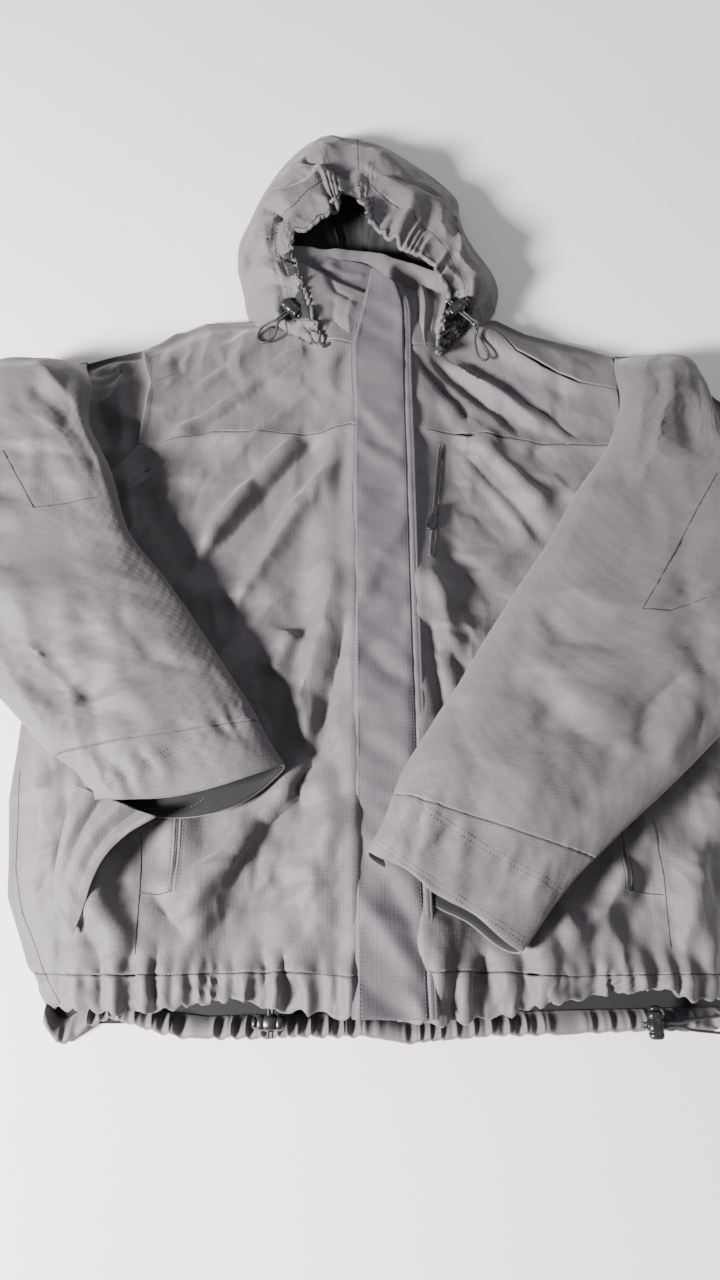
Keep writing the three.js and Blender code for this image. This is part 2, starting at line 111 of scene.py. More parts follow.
def tube(name, pts, radius, sides):
    """A closed round tube along points, its rings turned as little as they can be from one to the next."""
    tan = np.gradient(pts, axis=0)
    tan /= np.linalg.norm(tan, axis=1, keepdims=True)
    u = np.cross(tan[0], (0.0, 0.0, 1.0))
    u /= np.linalg.norm(u)
    a = np.linspace(0, 2 * math.pi, sides, endpoint=False)
    verts = []
    for p, t in zip(pts, tan):
        u = u - t * (u @ t)
        u /= np.linalg.norm(u)
        v = np.cross(t, u)
        verts += [tuple(p + radius * (math.cos(q) * u + math.sin(q) * v)) for q in a]
    n = len(pts)
    faces = [(i * sides + j, i * sides + (j + 1) % sides, (i + 1) * sides + (j + 1) % sides, (i + 1) * sides + j)
             for i in range(n - 1) for j in range(sides)]
    faces += [tuple(range(sides))[::-1], tuple((n - 1) * sides + j for j in range(sides))]
    me = bpy.data.meshes.new(name)
    me.from_pydata(verts, [], faces)
    me.polygons.foreach_set("use_smooth", [len(f) == 4 for f in faces])
    me.update()
    ob = bpy.data.objects.new(name, me)
    bpy.context.scene.collection.objects.link(ob)
    return ob


CORD_OBJECTS = {}
for name, (at, turn, loop) in CORDS.items():
    run = lambda x: [(x, y, 0) for y in (13, 6, 0, -8, -16, -23)]
    pts = np.array(run(-1.7) + loop + run(1.7)[::-1], float)
    c, s = math.cos(turn), math.sin(turn)
    pts = np.stack([pts[:, 0] * c - pts[:, 1] * s + at[0], pts[:, 0] * s + pts[:, 1] * c + at[1], pts[:, 2] + at[2]], -1)
    pts = R(through(pts, 90))
    ob = tube(name + "_braid", pts, CORD_MM * 0.0005, 12)
    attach(ob, "body")
    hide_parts(name)
    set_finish(ob, "cord")
    CORD_OBJECTS[name] = ob


# ------------------------------------------------------------------ outline
LOFT, ROLL = 44.0, 62.0
SILH = np.array([(-283, -400), (-283, -66), (-335, 60), (-345, 150), (-340, 300), (-330, 418), (-440, 410),
                 (-460, 470), (-440, 560), (-385, 640), (-316, 652), (-248, 672), (-180, 708), (-116, 712),
                 (20, 720), (160, 716), (195, 694), (286, 664), (345, 644), (400, 610), (438, 540), (450, 470),
                 (440, 410), (368, 418), (378, 300), (385, 150), (376, 60), (333, -66), (333, -400)], float)


def edge_distance(x, y):
    best = np.full(np.shape(x), 1e9)
    for a, b in zip(SILH[:-1], SILH[1:]):
        d = b - a
        t = np.clip(((x - a[0]) * d[0] + (y - a[1]) * d[1]) / (d @ d), 0, 1)
        best = np.minimum(best, np.hypot(x - a[0] - t * d[0], y - a[1] - t * d[1]))
    return best


def inside(x, y):
    c = np.zeros(np.shape(x), bool)
    p = SILH
    for i in range(len(p)):
        a, b = p[i], p[i - 1]
        c ^= ((a[1] > y) != (b[1] > y)) & (x < (b[0] - a[0]) * (y - a[1]) / ((b[1] - a[1]) or 1e-9) + a[0])
    return c


def front(x, y):
    return 4.5 + (LOFT - 4.5) * np.sin(np.pi / 2 * np.clip(edge_distance(x, y) / ROLL, 0, 1))


# a lookup of the height of the body under any point
MX, MY, MD = -520.0, -120.0, 4.0
gx, gy = np.meshgrid(np.arange(MX, 520, MD), np.arange(MY, 1010, MD))
BODY_MAP = np.where(inside(gx, gy), front(gx, gy), 0.0)


def lookup(m, x, y):
    fx = np.clip((x - MX) / MD, 0, m.shape[1] - 1.001)
    fy = np.clip((y - MY) / MD, 0, m.shape[0] - 1.001)
    i, j = fy.astype(int), fx.astype(int)
    a, b = fx - j, fy - i
    return (m[i, j] * (1 - a) + m[i, j + 1] * a) * (1 - b) + (m[i + 1, j] * (1 - a) + m[i + 1, j + 1] * a) * b


# ------------------------------------------------------------------ noise
def smooth_noise(x, y, scale, seed, stretch=(1, 1), angle=0.0):
    """Value noise over the plane, from -1 to 1."""
    r = np.random.default_rng(seed)
    t = r.uniform(-1, 1, (64, 64))
    ca, sa = math.cos(angle), math.sin(angle)
    u = (x * ca + y * sa) / (scale * stretch[0]) + 1000
    v = (-x * sa + y * ca) / (scale * stretch[1]) + 1000
    i, j = np.floor(v).astype(int), np.floor(u).astype(int)
    a, b = u - j, v - i
    a, b = a * a * a * (a * (6 * a - 15) + 10), b * b * b * (b * (6 * b - 15) + 10)
    g = lambda p, q: t[p % 64, q % 64]
    return (g(i, j) * (1 - a) + g(i, j + 1) * a) * (1 - b) + (g(i + 1, j) * (1 - a) + g(i + 1, j + 1) * a) * b


def ridge_noise(x, y, scale, seed, stretch=(1, 1), angle=0.0):
    n = 1 - np.abs(smooth_noise(x, y, scale, seed, stretch, angle)) * 2.2
    return np.clip(n, -1, 1)


def facet(x, y, scale, seed, stretch=(1, 1), angle=0.0, warp=0.35):
    """Flat facets that meet in creases, from -1 to 1."""
    r = np.random.default_rng(seed)
    t = r.uniform(-1, 1, (64, 64))
    way = r.integers(0, 2, (64, 64)).astype(bool)
    ca, sa = math.cos(angle), math.sin(angle)
    u = (x * ca + y * sa) / (scale * stretch[0]) + 1000 + warp * smooth_noise(x, y, scale * 1.3, seed + 7000)
    v = (-x * sa + y * ca) / (scale * stretch[1]) + 1000 + warp * smooth_noise(x, y, scale * 1.3, seed + 8000)
    i, j = np.floor(v).astype(int), np.floor(u).astype(int)
    a, b = u - j, v - i
    g = lambda p, q: t[p % 64, q % 64]
    p, q, r, s = g(i, j), g(i, j + 1), g(i + 1, j), g(i + 1, j + 1)
    one = np.where(a > b, p + a * (q - p) + b * (s - q), p + b * (r - p) + a * (s - r))
    two = np.where(a + b < 1, p + a * (q - p) + b * (r - p), s + (1 - a) * (r - s) + (1 - b) * (q - s))
    return np.where(way[i % 64, j % 64], one, two)


def poly_dist(x, y, pts):
    """Distance to a polyline, the share along it, and the side."""
    pts = np.asarray(pts, float)
    best = np.full(np.shape(x), 1e9)
    along = np.zeros(np.shape(x))
    side = np.zeros(np.shape(x))
    seg = np.linalg.norm(np.diff(pts, axis=0), axis=1)
    total, done = seg.sum(), 0.0
    for a, b, l in zip(pts[:-1], pts[1:], seg):
        d = b - a
        t = np.clip(((x - a[0]) * d[0] + (y - a[1]) * d[1]) / (d @ d), 0, 1)
        dx, dy = x - a[0] - t * d[0], y - a[1] - t * d[1]
        r = np.hypot(dx, dy)
        m = r < best
        best = np.where(m, r, best)
        along = np.where(m, (done + t * l) / total, along)
        side = np.where(m, np.sign(d[0] * dy - d[1] * dx), side)
        done += l
    return best, along, side


def fold(x, y, pts, height, width, skew=0.0, ends=0.18):
    """A ridge (or a valley, where height is negative) along a polyline; skew makes one flank steeper."""
    d, a, s = poly_dist(x, y, pts)
    w = width * (1 + skew * s)
    end = np.clip(np.minimum(a, 1 - a) / ends, 0, 1)
    end = end * end * (3 - 2 * end)
    return height * np.exp(-1.5 * (np.sqrt((d / w) ** 2 + 0.16) - 0.4)) * end


# ------------------------------------------------------------------ cloth
def edges_of(X, wrap):
    r = {}
    n = lambda d: np.sqrt((d * d).sum(-1))
    if wrap:
        r["h"] = n(np.roll(X, -1, 1) - X)
        r["h2"] = n(np.roll(X, -2, 1) - X)
        r["d1"] = n(np.roll(X, -1, 1)[1:] - X[:-1])
        r["d2"] = n(X[1:] - np.roll(X, -1, 1)[:-1])
    else:
        r["h"] = n(X[:, 1:] - X[:, :-1])
        r["h2"] = n(X[:, 2:] - X[:, :-2])
        r["d1"] = n(X[1:, 1:] - X[:-1, :-1])
        r["d2"] = n(X[1:, :-1] - X[:-1, 1:])
    r["v"] = n(X[1:] - X[:-1])
    r["v2"] = n(X[2:] - X[:-2])
    return r


def spread_of(D, wrap):
    """Difference from the neighbours on the grid."""
    A = np.zeros_like(D)
    A[1:-1] += D[:-2] + D[2:] - 2 * D[1:-1]
    if wrap:
        A += np.roll(D, 1, 1) + np.roll(D, -1, 1) - 2 * D
    else:
        A[:, 1:-1] += D[:, :-2] + D[:, 2:] - 2 * D[:, 1:-1]
    return A


def relax(X, L, steps, pin, support=None, gravity=0.03, pressure=0.0, wrap=False, bend=0.25, shear=0.5, keep=0.0,
          damp=0.93, hold=None, stiff=2):
    """Position-based cloth on a grid: stretch, shear and bending, with gravity, pressure and a surface under it."""
    X = X.astype(np.float32).copy()
    P = X.copy()
    L = {k: v.astype(np.float32) for k, v in L.items()}
    last = X.copy()
    free = (~pin)[..., None].astype(np.float32)

    def pair(A, B, l0, k, push=False):
        d = B - A
        l = np.sqrt((d * d).sum(-1)) + 1e-6
        s = k * 0.5 * (1 - l0 / l)
        if push:
            s = np.minimum(s, 0)
        return d * s[..., None]

    for step in range(steps):
        vel = (X - last) * damp
        last = X.copy()
        X = X + vel * free
        X[..., 2] -= gravity * free[..., 0]
        if pressure:
            if wrap:
                du = np.roll(X, -1, 1) - np.roll(X, 1, 1)
            else:
                du = np.gradient(X, axis=1)
            dv = np.gradient(X, axis=0)
            nrm = np.cross(du, dv)
            nrm /= np.sqrt((nrm * nrm).sum(-1, keepdims=True)) + 1e-6
            X = X + nrm * pressure * free
        for _ in range(2):
            if wrap:
                c = pair(X, np.roll(X, -1, 1), L["h"], 1)
                X += c - np.roll(c, 1, 1)
                c = pair(X[:-1], X[1:], L["v"], 1)
                X[:-1] += c
                X[1:] -= c
                Y = np.roll(X, -1, 1)
                c = pair(X[:-1], Y[1:], L["d1"], shear)
                X[:-1] += c
                X[1:] -= np.roll(c, 1, 1)
                Y = np.roll(X, -1, 1)
                c = pair(Y[:-1], X[1:], L["d2"], shear)
                X[:-1] += np.roll(c, 1, 1)
                X[1:] -= c
                c = pair(X, np.roll(X, -2, 1), L["h2"], bend, True)
                X += c - np.roll(c, 2, 1)
            else:
                c = pair(X[:, :-1], X[:, 1:], L["h"], 1)
                X[:, :-1] += c
                X[:, 1:] -= c
                c = pair(X[:-1], X[1:], L["v"], 1)
                X[:-1] += c
                X[1:] -= c
                c = pair(X[:-1, :-1], X[1:, 1:], L["d1"], shear)
                X[:-1, :-1] += c
                X[1:, 1:] -= c
                c = pair(X[:-1, 1:], X[1:, :-1], L["d2"], shear)
                X[:-1, 1:] += c
                X[1:, :-1] -= c
                c = pair(X[:, :-2], X[:, 2:], L["h2"], bend, True)
                X[:, :-2] += c
                X[:, 2:] -= c
            c = pair(X[:-2], X[2:], L["v2"], bend, True)
            X[:-2] += c
            X[2:] -= c
            X = np.where(pin[..., None], P, X)
        for _ in range(stiff):
            D = X - P
            X = np.where(pin[..., None], P, X - 0.028 * spread_of(spread_of(D, wrap), wrap))
        if keep:
            X[..., :2] += (P[..., :2] - X[..., :2]) * keep
        if hold is not None:
            X += (P - X) * hold[..., None]
        if support is not None:
            z = support(X[..., 0], X[..., 1])
            under = X[..., 2] < z
            X[..., 2] = np.where(under & ~pin, z, X[..., 2])
            last[..., :2] = np.where(under[..., None], last[..., :2] * 0.5 + X[..., :2] * 0.5, last[..., :2])
    return X.astype(float)


def cubic_double(X, axis, wrap=False):
    """Twice as many intervals along one axis, on a smooth curve through the same points."""
    X = np.moveaxis(X, axis, 0)
    if wrap:
        a, b, c, d = np.roll(X, 1, 0), X, np.roll(X, -1, 0), np.roll(X, -2, 0)
        mid = (9 * (b + c) - a - d) / 16
        out = np.empty((X.shape[0] * 2,) + X.shape[1:])
        out[0::2], out[1::2] = X, mid
    else:
        E = np.concatenate([2 * X[:1] - X[1:2], X, 2 * X[-1:] - X[-2:-1]])
        mid = (9 * (E[1:-2] + E[2:-1]) - E[:-3] - E[3:]) / 16
        out = np.empty((X.shape[0] * 2 - 1,) + X.shape[1:])
        out[0::2], out[1::2] = X, mid
    return np.moveaxis(out, 0, axis)


def finer(X, wrap=False):
    return cubic_double(cubic_double(X, 0), 1, wrap)


def grid_normals(X, wrap=False):
    du = (np.roll(X, -1, 1) - np.roll(X, 1, 1)) if wrap else np.gradient(X, axis=1)
    n = np.cross(du, np.gradient(X, axis=0))
    return n / (np.linalg.norm(n, axis=-1, keepdims=True) + 1e-9)


def hemmed(X, U, sides, depth=1.5, inset=1.6):
    """Adds a row close to each named side and turns the side itself down, so that a seam shows as a line."""
    def along(X, U):
        n = grid_normals(X)
        d = X[1] - X[0]
        l = np.linalg.norm(d, axis=-1, keepdims=True)
        f = np.clip(inset / (l + 1e-9), 0, 0.45)
        row, urow = X[0] + d * f, U[0] + (U[1] - U[0]) * f
        edge = X[0] - n[0] * depth * sgn
        return np.concatenate([edge[None], row[None], X[1:]]), np.concatenate([U[:1], urow[None], U[1:]])
    for s in sides:
        if s in "bt":
            sgn = 1
            if s == "t":
                X, U = X[::-1], U[::-1]
                sgn = -1
            X, U = along(X, U)
            if s == "t":
                X, U = X[::-1], U[::-1]
        else:
            X, U = X.transpose(1, 0, 2), U.transpose(1, 0, 2)
            sgn = -1
            if s == "r":
                X, U = X[::-1], U[::-1]
                sgn = 1
            X, U = along(X, U)
            if s == "r":
                X, U = X[::-1], U[::-1]
            X, U = X.transpose(1, 0, 2), U.transpose(1, 0, 2)
    return X, U


def rolled(X, U, sides, r=2.2):
    """Turns an edge under in a round hem."""
    for s in sides:
        if s == "b":
            X, U = X[::-1], U[::-1]
        elif s in "lr":
            X, U = X.transpose(1, 0, 2), U.transpose(1, 0, 2)
            if s == "l":
                X, U = X[::-1], U[::-1]
        n = grid_normals(X)[-1]
        if np.median(n[:, 2]) < 0:
            n = -n
        d = X[-1] - X[-2]
        d /= np.linalg.norm(d, axis=-1, keepdims=True) + 1e-9
        extra = [X[-1] + d * r * math.sin(a) - n * r * (1 - math.cos(a)) for a in (0.7, 1.4, 2.1, 2.8, 3.3)]
        X = np.concatenate([X, np.array(extra)])
        U = np.concatenate([U, np.array([U[-1] + (U[-1] - U[-2]) * k for k in (0.4, 0.8, 1.2, 1.6, 2.0)])])
        if s == "b":
            X, U = X[::-1], U[::-1]
        elif s in "lr":
            if s == "l":
                X, U = X[::-1], U[::-1]
            X, U = X.transpose(1, 0, 2), U.transpose(1, 0, 2)
    return X, U


# ------------------------------------------------------------------ meshes
def add_object(name, verts_mm, faces, mats, smooth=True):
    me = bpy.data.meshes.new(name)
    me.from_pydata([tuple(v) for v in R(verts_mm)], [], faces)
    me.update()
    if smooth:
        me.polygons.foreach_set("use_smooth", [True] * len(me.polygons))
    ob = bpy.data.objects.new(name, me)
    bpy.context.scene.collection.objects.link(ob)
    for m in mats:
        me.materials.append(m)
    return ob


def grid_faces(nv, nu, wrap=False, flip=False):
    i, j = np.meshgrid(np.arange(nv - 1), np.arange(nu if wrap else nu - 1), indexing="ij")
    j2 = (j + 1) % nu
    f = np.stack([i * nu + j, i * nu + j2, (i + 1) * nu + j2, (i + 1) * nu + j], -1).reshape(-1, 4)
    return f[:, ::-1] if flip else f


CLOTH = []


def grid_area(X, wrap):
    Y = np.concatenate([X, X[:, :1]], 1) if wrap else X
    d1, d2 = Y[1:, 1:] - Y[:-1, :-1], Y[1:, :-1] - Y[:-1, 1:]
    return float(np.linalg.norm(np.cross(d1, d2), axis=-1).sum() / 2) * 1e-6


def cut_size(X, wrap):
    """Longest width and length along the grid, in metres."""
    Y = np.concatenate([X, X[:, :1]], 1) if wrap else X
    w = np.linalg.norm(np.diff(Y, axis=1), axis=-1).sum(1).max()
    l = np.linalg.norm(np.diff(Y, axis=0), axis=-1).sum(0).max()
    return round(float(w) * 0.001, 3), round(float(l) * 0.001, 3)


def creased(X, wrap, k, big=(6.5, 62), mask=1.0, way=0.8):
    """Flat facets and creases of stiff cloth, along the surface's own normal."""
    n = grid_normals(X, wrap)
    x, y = X[..., 0], X[..., 1]
    m = np.clip(0.55 + 0.7 * smooth_noise(x, y, 95, 204), 0.1, 1.1)
    m2 = np.clip(0.5 + 0.8 * smooth_noise(x, y, 80, 208), 0.05, 1.1)
    d = big[0] * facet(x, y, big[1], 205, (2.2, 0.75), way) + 5.0 * m * facet(x, y, 26, 206, (2.8, 0.8), way - 0.55)
    d = d + 4.0 * m2 * facet(x, y, 21, 209, (3.0, 0.75), way + 0.75) + 1.2 * m * facet(x, y, 12, 207, (1.6, 0.8), way)
    flat = np.clip(((n[..., 2] if wrap else np.abs(n[..., 2])) - 0.3) / 0.4, 0, 1)
    return X + n * (d * k * mask * flat)[..., None]


def crumpled(X, wrap, k):
    """Small creases along the surface's own normal."""
    n = grid_normals(X, wrap)
    x, y = X[..., 0], X[..., 1]
    d = 0.5 * ridge_noise(x, y, 34, 201, (1, 1.9), 0.8) + 0.3 * ridge_noise(x, y, 21, 202, (1, 2.3), -0.7) + 0.1 * ridge_noise(x, y, 9, 203, (1, 1.5), 0.2)
    return X + n * (d * k)[..., None]


def cloth_object(name, X, U, mats, thick=1.2, wrap=False, flip=False, subdiv=0, offset=-1.0, crumple=0.0):
    """A sheet of cloth with its lining: X is its grid in mm, U the material coordinates in metres."""
    nv, nu = X.shape[:2]
    if crumple:
        X = crumpled(X, wrap, crumple)
    faces = grid_faces(nv, nu, wrap, flip)
    ob = add_object(name, X.reshape(-1, 3), faces.tolist(), mats)
    layer = ob.data.uv_layers.new(name="weave")
    uv = U.reshape(-1, 2)[faces.ravel()]
    if wrap:
        k = np.tile((np.arange(nu) == nu - 1)[None], (nv - 1, 1)).ravel()
        uv = uv.reshape(-1, 4, 2)
        width = U[:, -1:, 0] + (U[:, 1:2, 0] - U[:, 0:1, 0])
        w = np.repeat(width[:-1], nu, 1).ravel()
        cols = [1, 2] if not flip else [2, 1]
        for c in cols:
            uv[k, c, 0] = w[k]
        uv = uv.reshape(-1, 2)
    layer.data.foreach_set("uv", uv.astype(np.float32).ravel())
    if subdiv:
        s = ob.modifiers.new("smooth", "SUBSURF")
        s.levels = s.render_levels = subdiv
    if thick:
        m = ob.modifiers.new("thickness", "SOLIDIFY")
        m.thickness = thick * 0.001
        m.offset = offset
        if len(mats) > 1:
            m.material_offset = 1
            m.material_offset_rim = 0
    CLOTH.append((ob, *cut_size(X, wrap), grid_area(X, wrap)))
    return ob


def material_coords(X, wrap=False):
    """Coordinates in the cloth, in metres: distance along rows and up columns."""
    du = np.linalg.norm(np.diff(X, axis=1), axis=-1)
    dv = np.linalg.norm(np.diff(X, axis=0), axis=-1)
    u = np.concatenate([np.zeros((X.shape[0], 1)), np.cumsum(du, 1)], 1)
    u = u - u[:, u.shape[1] // 2:u.shape[1] // 2 + 1] + X[:, X.shape[1] // 2:X.shape[1] // 2 + 1, 0]
    v = np.concatenate([np.zeros((1, X.shape[1])), np.cumsum(dv, 0)], 0) + X[0, :, 1].mean()
    v = v * 0.3 + v.mean(1, keepdims=True) * 0.7
    return np.stack([u, v], -1) * 0.001


def polyline(pts, share):
    """Points at given shares of a polyline's length."""
    pts = np.asarray(pts, float)
    seg = np.linalg.norm(np.diff(pts, axis=0), axis=1)
    s = np.concatenate([[0], np.cumsum(seg)]) / seg.sum()
    return np.stack([np.interp(share, s, pts[:, k]) for k in range(pts.shape[1])], -1)


def spline(pts, share):
    """A smooth curve through the points, at given shares."""
    pts = np.asarray(pts, float)
    seg = np.linalg.norm(np.diff(pts, axis=0), axis=1)
    s = np.concatenate([[0], np.cumsum(seg)]) / seg.sum()
    m = np.gradient(pts, s, axis=0)
    k = np.clip(np.searchsorted(s, share, side="right") - 1, 0, len(s) - 2)
    h = (s[k + 1] - s[k])
    t = ((share - s[k]) / h)[..., None]
    h = h[..., None]
    return ((2 * t**3 - 3 * t**2 + 1) * pts[k] + (t**3 - 2 * t**2 + t) * h * m[k]
            + (-2 * t**3 + 3 * t**2) * pts[k + 1] + (t**3 - t**2) * h * m[k + 1])


# ------------------------------------------------------------------ materials
def new_material(name):
    m = bpy.data.materials.new(name)
    m.use_nodes = True
    nt = m.node_tree
    nt.nodes.clear()
    out = nt.nodes.new("ShaderNodeOutputMaterial")
    bsdf = nt.nodes.new("ShaderNodeBsdfPrincipled")
    nt.links.new(bsdf.outputs[0], out.inputs[0])
    return m, nt, bsdf


def ramp(nt, a, b, ca, cb):
    r = nt.nodes.new("ShaderNodeValToRGB")
    r.color_ramp.elements[0].position, r.color_ramp.elements[1].position = a, b
    r.color_ramp.elements[0].color, r.color_ramp.elements[1].color = (*ca, 1), (*cb, 1)
    return r


def math_node(nt, op, a=None, b=None, c=None):
    n = nt.nodes.new("ShaderNodeMath")
    n.operation = op
    for k, v in enumerate((a, b, c)):
        if v is None:
            continue
        if isinstance(v, (int, float)):
            n.inputs[k].default_value = v
        else:
            nt.links.new(v, n.inputs[k])
    return n.outputs[0]


def noise_node(nt, vec, scale, detail=3, rough=0.5):
    n = nt.nodes.new("ShaderNodeTexNoise")
    n.inputs["Scale"].default_value = scale
    n.inputs["Detail"].default_value = detail
    n.inputs["Roughness"].default_value = rough
    if vec is not None:
        nt.links.new(vec, n.inputs["Vector"])
    return n.outputs[0]


def fabric(name, base, dark, rough=0.62, pitch=0.004, grid=0.5, weave=0.25, sheen=0.2, bump=0.25, crease=0.0):
    m, nt, bsdf = new_material(name)
    uv = nt.nodes.new("ShaderNodeUVMap")
    uv.uv_map = "weave"
    tc = nt.nodes.new("ShaderNodeTexCoord")
    sep = nt.nodes.new("ShaderNodeSeparateXYZ")
    nt.links.new(uv.outputs[0], sep.inputs[0])

    def lines(pitch, width):
        out = []
        for k in (0, 1):
            f = math_node(nt, "FRACT", math_node(nt, "MULTIPLY", sep.outputs[k], 1 / pitch))
            d = math_node(nt, "ABSOLUTE", math_node(nt, "SUBTRACT", f, 0.5))
            out.append(math_node(nt, "SMOOTH_MAX", math_node(nt, "SUBTRACT", 1, math_node(nt, "DIVIDE", d, width)), 0, 0.1))
        return out
    gu, gv = lines(pitch, 0.14)
    ripstop = math_node(nt, "MAXIMUM", gu, gv)
    # fine over-under weave
    su = math_node(nt, "SINE", math_node(nt, "MULTIPLY", sep.outputs[0], 2 * math.pi / 0.0007))
    sv = math_node(nt, "SINE", math_node(nt, "MULTIPLY", sep.outputs[1], 2 * math.pi / 0.0007))
    yarn = math_node(nt, "MULTIPLY", su, sv)
    large = noise_node(nt, tc.outputs["Object"], 9, 4, 0.55)
    fine = noise_node(nt, tc.outputs["Object"], 260, 3, 0.6)
    mix = math_node(nt, "MULTIPLY_ADD", large, 0.7, math_node(nt, "MULTIPLY", fine, 0.22))
    r = ramp(nt, 0.3, 0.66, dark, base)
    nt.links.new(mix, r.inputs[0])
    # ripstop threads read a little lighter than the ground
    tint = nt.nodes.new("ShaderNodeMix")
    tint.data_type = "RGBA"
    tint.blend_type = "MULTIPLY"
    f = math_node(nt, "MULTIPLY", ripstop, grid)
    nt.links.new(f, tint.inputs["Factor"])
    nt.links.new(r.outputs[0], tint.inputs[6])
    tint.inputs[7].default_value = (0.72, 0.72, 0.74, 1)
    nt.links.new(tint.outputs[2], bsdf.inputs["Base Color"])
    rr = math_node(nt, "MULTIPLY_ADD", large, 0.16, rough - 0.08)
    nt.links.new(rr, bsdf.inputs["Roughness"])
    h = math_node(nt, "ADD", math_node(nt, "MULTIPLY", ripstop, 1.0), math_node(nt, "MULTIPLY", yarn, weave))
    h = math_node(nt, "ADD", h, math_node(nt, "MULTIPLY", fine, 0.5))
    b = nt.nodes.new("ShaderNodeBump")
    b.inputs["Strength"].default_value = bump
    b.inputs["Distance"].default_value = 0.0004
    nt.links.new(h, b.inputs["Height"])
    if crease:
        c1 = math_node(nt, "ABSOLUTE", math_node(nt, "SUBTRACT", noise_node(nt, tc.outputs["Object"], 34, 2, 0.45), 0.5))
        c2 = math_node(nt, "ABSOLUTE", math_node(nt, "SUBTRACT", noise_node(nt, tc.outputs["Object"], 85, 2, 0.5), 0.5))
        b2 = nt.nodes.new("ShaderNodeBump")
        b2.inputs["Strength"].default_value = crease
        b2.inputs["Distance"].default_value = 0.006
        nt.links.new(math_node(nt, "MULTIPLY_ADD", c2, 0.35, c1), b2.inputs["Height"])
        nt.links.new(b2.outputs[0], b.inputs["Normal"])
    nt.links.new(b.outputs[0], bsdf.inputs["Normal"])
    bsdf.inputs["Sheen Weight"].default_value = sheen
    bsdf.inputs["Sheen Roughness"].default_value = 0.45
    bsdf.inputs["Specular IOR Level"].default_value = 0.35
    return m


def plastic(name, base, rough, bump=0.05, scale=420):
    m, nt, bsdf = new_material(name)
    tc = nt.nodes.new("ShaderNodeTexCoord")
    n = noise_node(nt, tc.outputs["Object"], scale, 4, 0.6)
    w = noise_node(nt, tc.outputs["Object"], 60, 2, 0.5)
    r = ramp(nt, 0.35, 0.75, base, tuple(min(1, c * 1.7 + 0.006) for c in base))
    nt.links.new(w, r.inputs[0])
    nt.links.new(r.outputs[0], bsdf.inputs["Base Color"])
    nt.links.new(math_node(nt, "MULTIPLY_ADD", w, 0.18, rough - 0.09), bsdf.inputs["Roughness"])
    b = nt.nodes.new("ShaderNodeBump")
    b.inputs["Strength"].default_value = bump
    b.inputs["Distance"].default_value = 0.0004
    nt.links.new(n, b.inputs["Height"])
    nt.links.new(b.outputs[0], bsdf.inputs["Normal"])
    return m


SHELL = fabric("shell_ripstop", (0.124, 0.110, 0.119), (0.098, 0.088, 0.097), crease=0.14)
# a darker copy of the shell ripstop, painted shade: the storm flap, its placket and the collar facing are the same
# cloth as the body
SHELL_PAINTED_SHADE = fabric("shell_painted_shade", (0.097, 0.086, 0.098), (0.079, 0.070, 0.082), crease=0.14)
# near-black painted shadow, laid in narrow strips where two layers of cloth meet
SEAM_SHADOW = fabric("seam_shadow", (0.030, 0.029, 0.032), (0.022, 0.021, 0.024), rough=0.8, pitch=0.001)
LINING = fabric("lining_black", (0.016, 0.016, 0.018), (0.009, 0.009, 0.010), rough=0.8, pitch=0.0022, grid=0.2, sheen=0.1)
THREAD = fabric("thread", (0.125, 0.122, 0.128), (0.09, 0.09, 0.096), rough=0.7, pitch=0.001)
TAPE = fabric("tape_black", (0.02, 0.02, 0.022), (0.012, 0.012, 0.013), rough=0.75, pitch=0.0012, grid=0.5)
CORD = fabric("cord_black", (0.03, 0.031, 0.036), (0.014, 0.014, 0.016), rough=0.6, pitch=0.0011, grid=0.6, bump=0.6)
CORD_FREE = plastic("cord_braid", (0.020, 0.021, 0.026), 0.55, 0.6, 900)
GLOSS = plastic("lock_gloss", (0.009, 0.009, 0.010), 0.26, 0.03)
MATTE = plastic("zip_matte", (0.014, 0.014, 0.015), 0.48, 0.1)
METAL = plastic("crimp_metal", (0.45, 0.45, 0.46), 0.3, 0.05)
METAL.node_tree.nodes["Principled BSDF"].inputs["Metallic"].default_value = 1.0

# ------------------------------------------------------------------ body front
BODY_L = np.array([(-66, -283), (-38, -288), (0, -310), (60, -335), (150, -345), (300, -336), (440, -302), (470, -286),
                   (500, -254), (523, -237), (557, -230), (586, -229), (620, -232), (656, -245), (672, -251)], float)
BODY_R = np.array([(-66, 333), (-38, 338), (0, 360), (60, 376), (150, 385), (300, 375), (440, 340), (470, 322),
                   (500, 292), (523, 279), (545, 274), (586, 279), (611, 283), (643, 286), (662, 288)], float)
xL = lambda y: np.interp(y, BODY_L[:, 0], BODY_L[:, 1])
xR = lambda y: np.interp(y, BODY_R[:, 0], BODY_R[:, 1])
HEM = np.array([(-288, -40), (-248, -37), (-227, -40), (-196, -40), (-168, -37), (-146, -32), (-106, -28), (-79, -37),
                (-38, -41), (-5, -43), (42, -47), (67, -49), (130, -43), (154, -35), (204, -26), (245, -22),
                (270, -20), (295, -30), (338, -28)], float)
YOKE = np.array([(-237, 524), (-208, 529), (-181, 536), (-160, 543), (-120, 540), (-91, 541), (-42, 538), (-10, 544),
                 (25, 538), (52, 535), (72, 539), (127, 535), (161, 535), (196, 528), (262, 523), (279, 523)], float)
ZX = 25.0
NU, MID = 145, 72
u = np.linspace(0, 1, NU)
half = lambda a, b, c: np.where(u[:, None] < 0.5, a + (c - a) * (u[:, None] * 2), c + (b - c) * (u[:, None] * 2 - 1))


def spread(xl, xr):
    return np.where(u < 0.5, xl + (ZX - xl) * u * 2, ZX + (xr - ZX) * (u * 2 - 1))


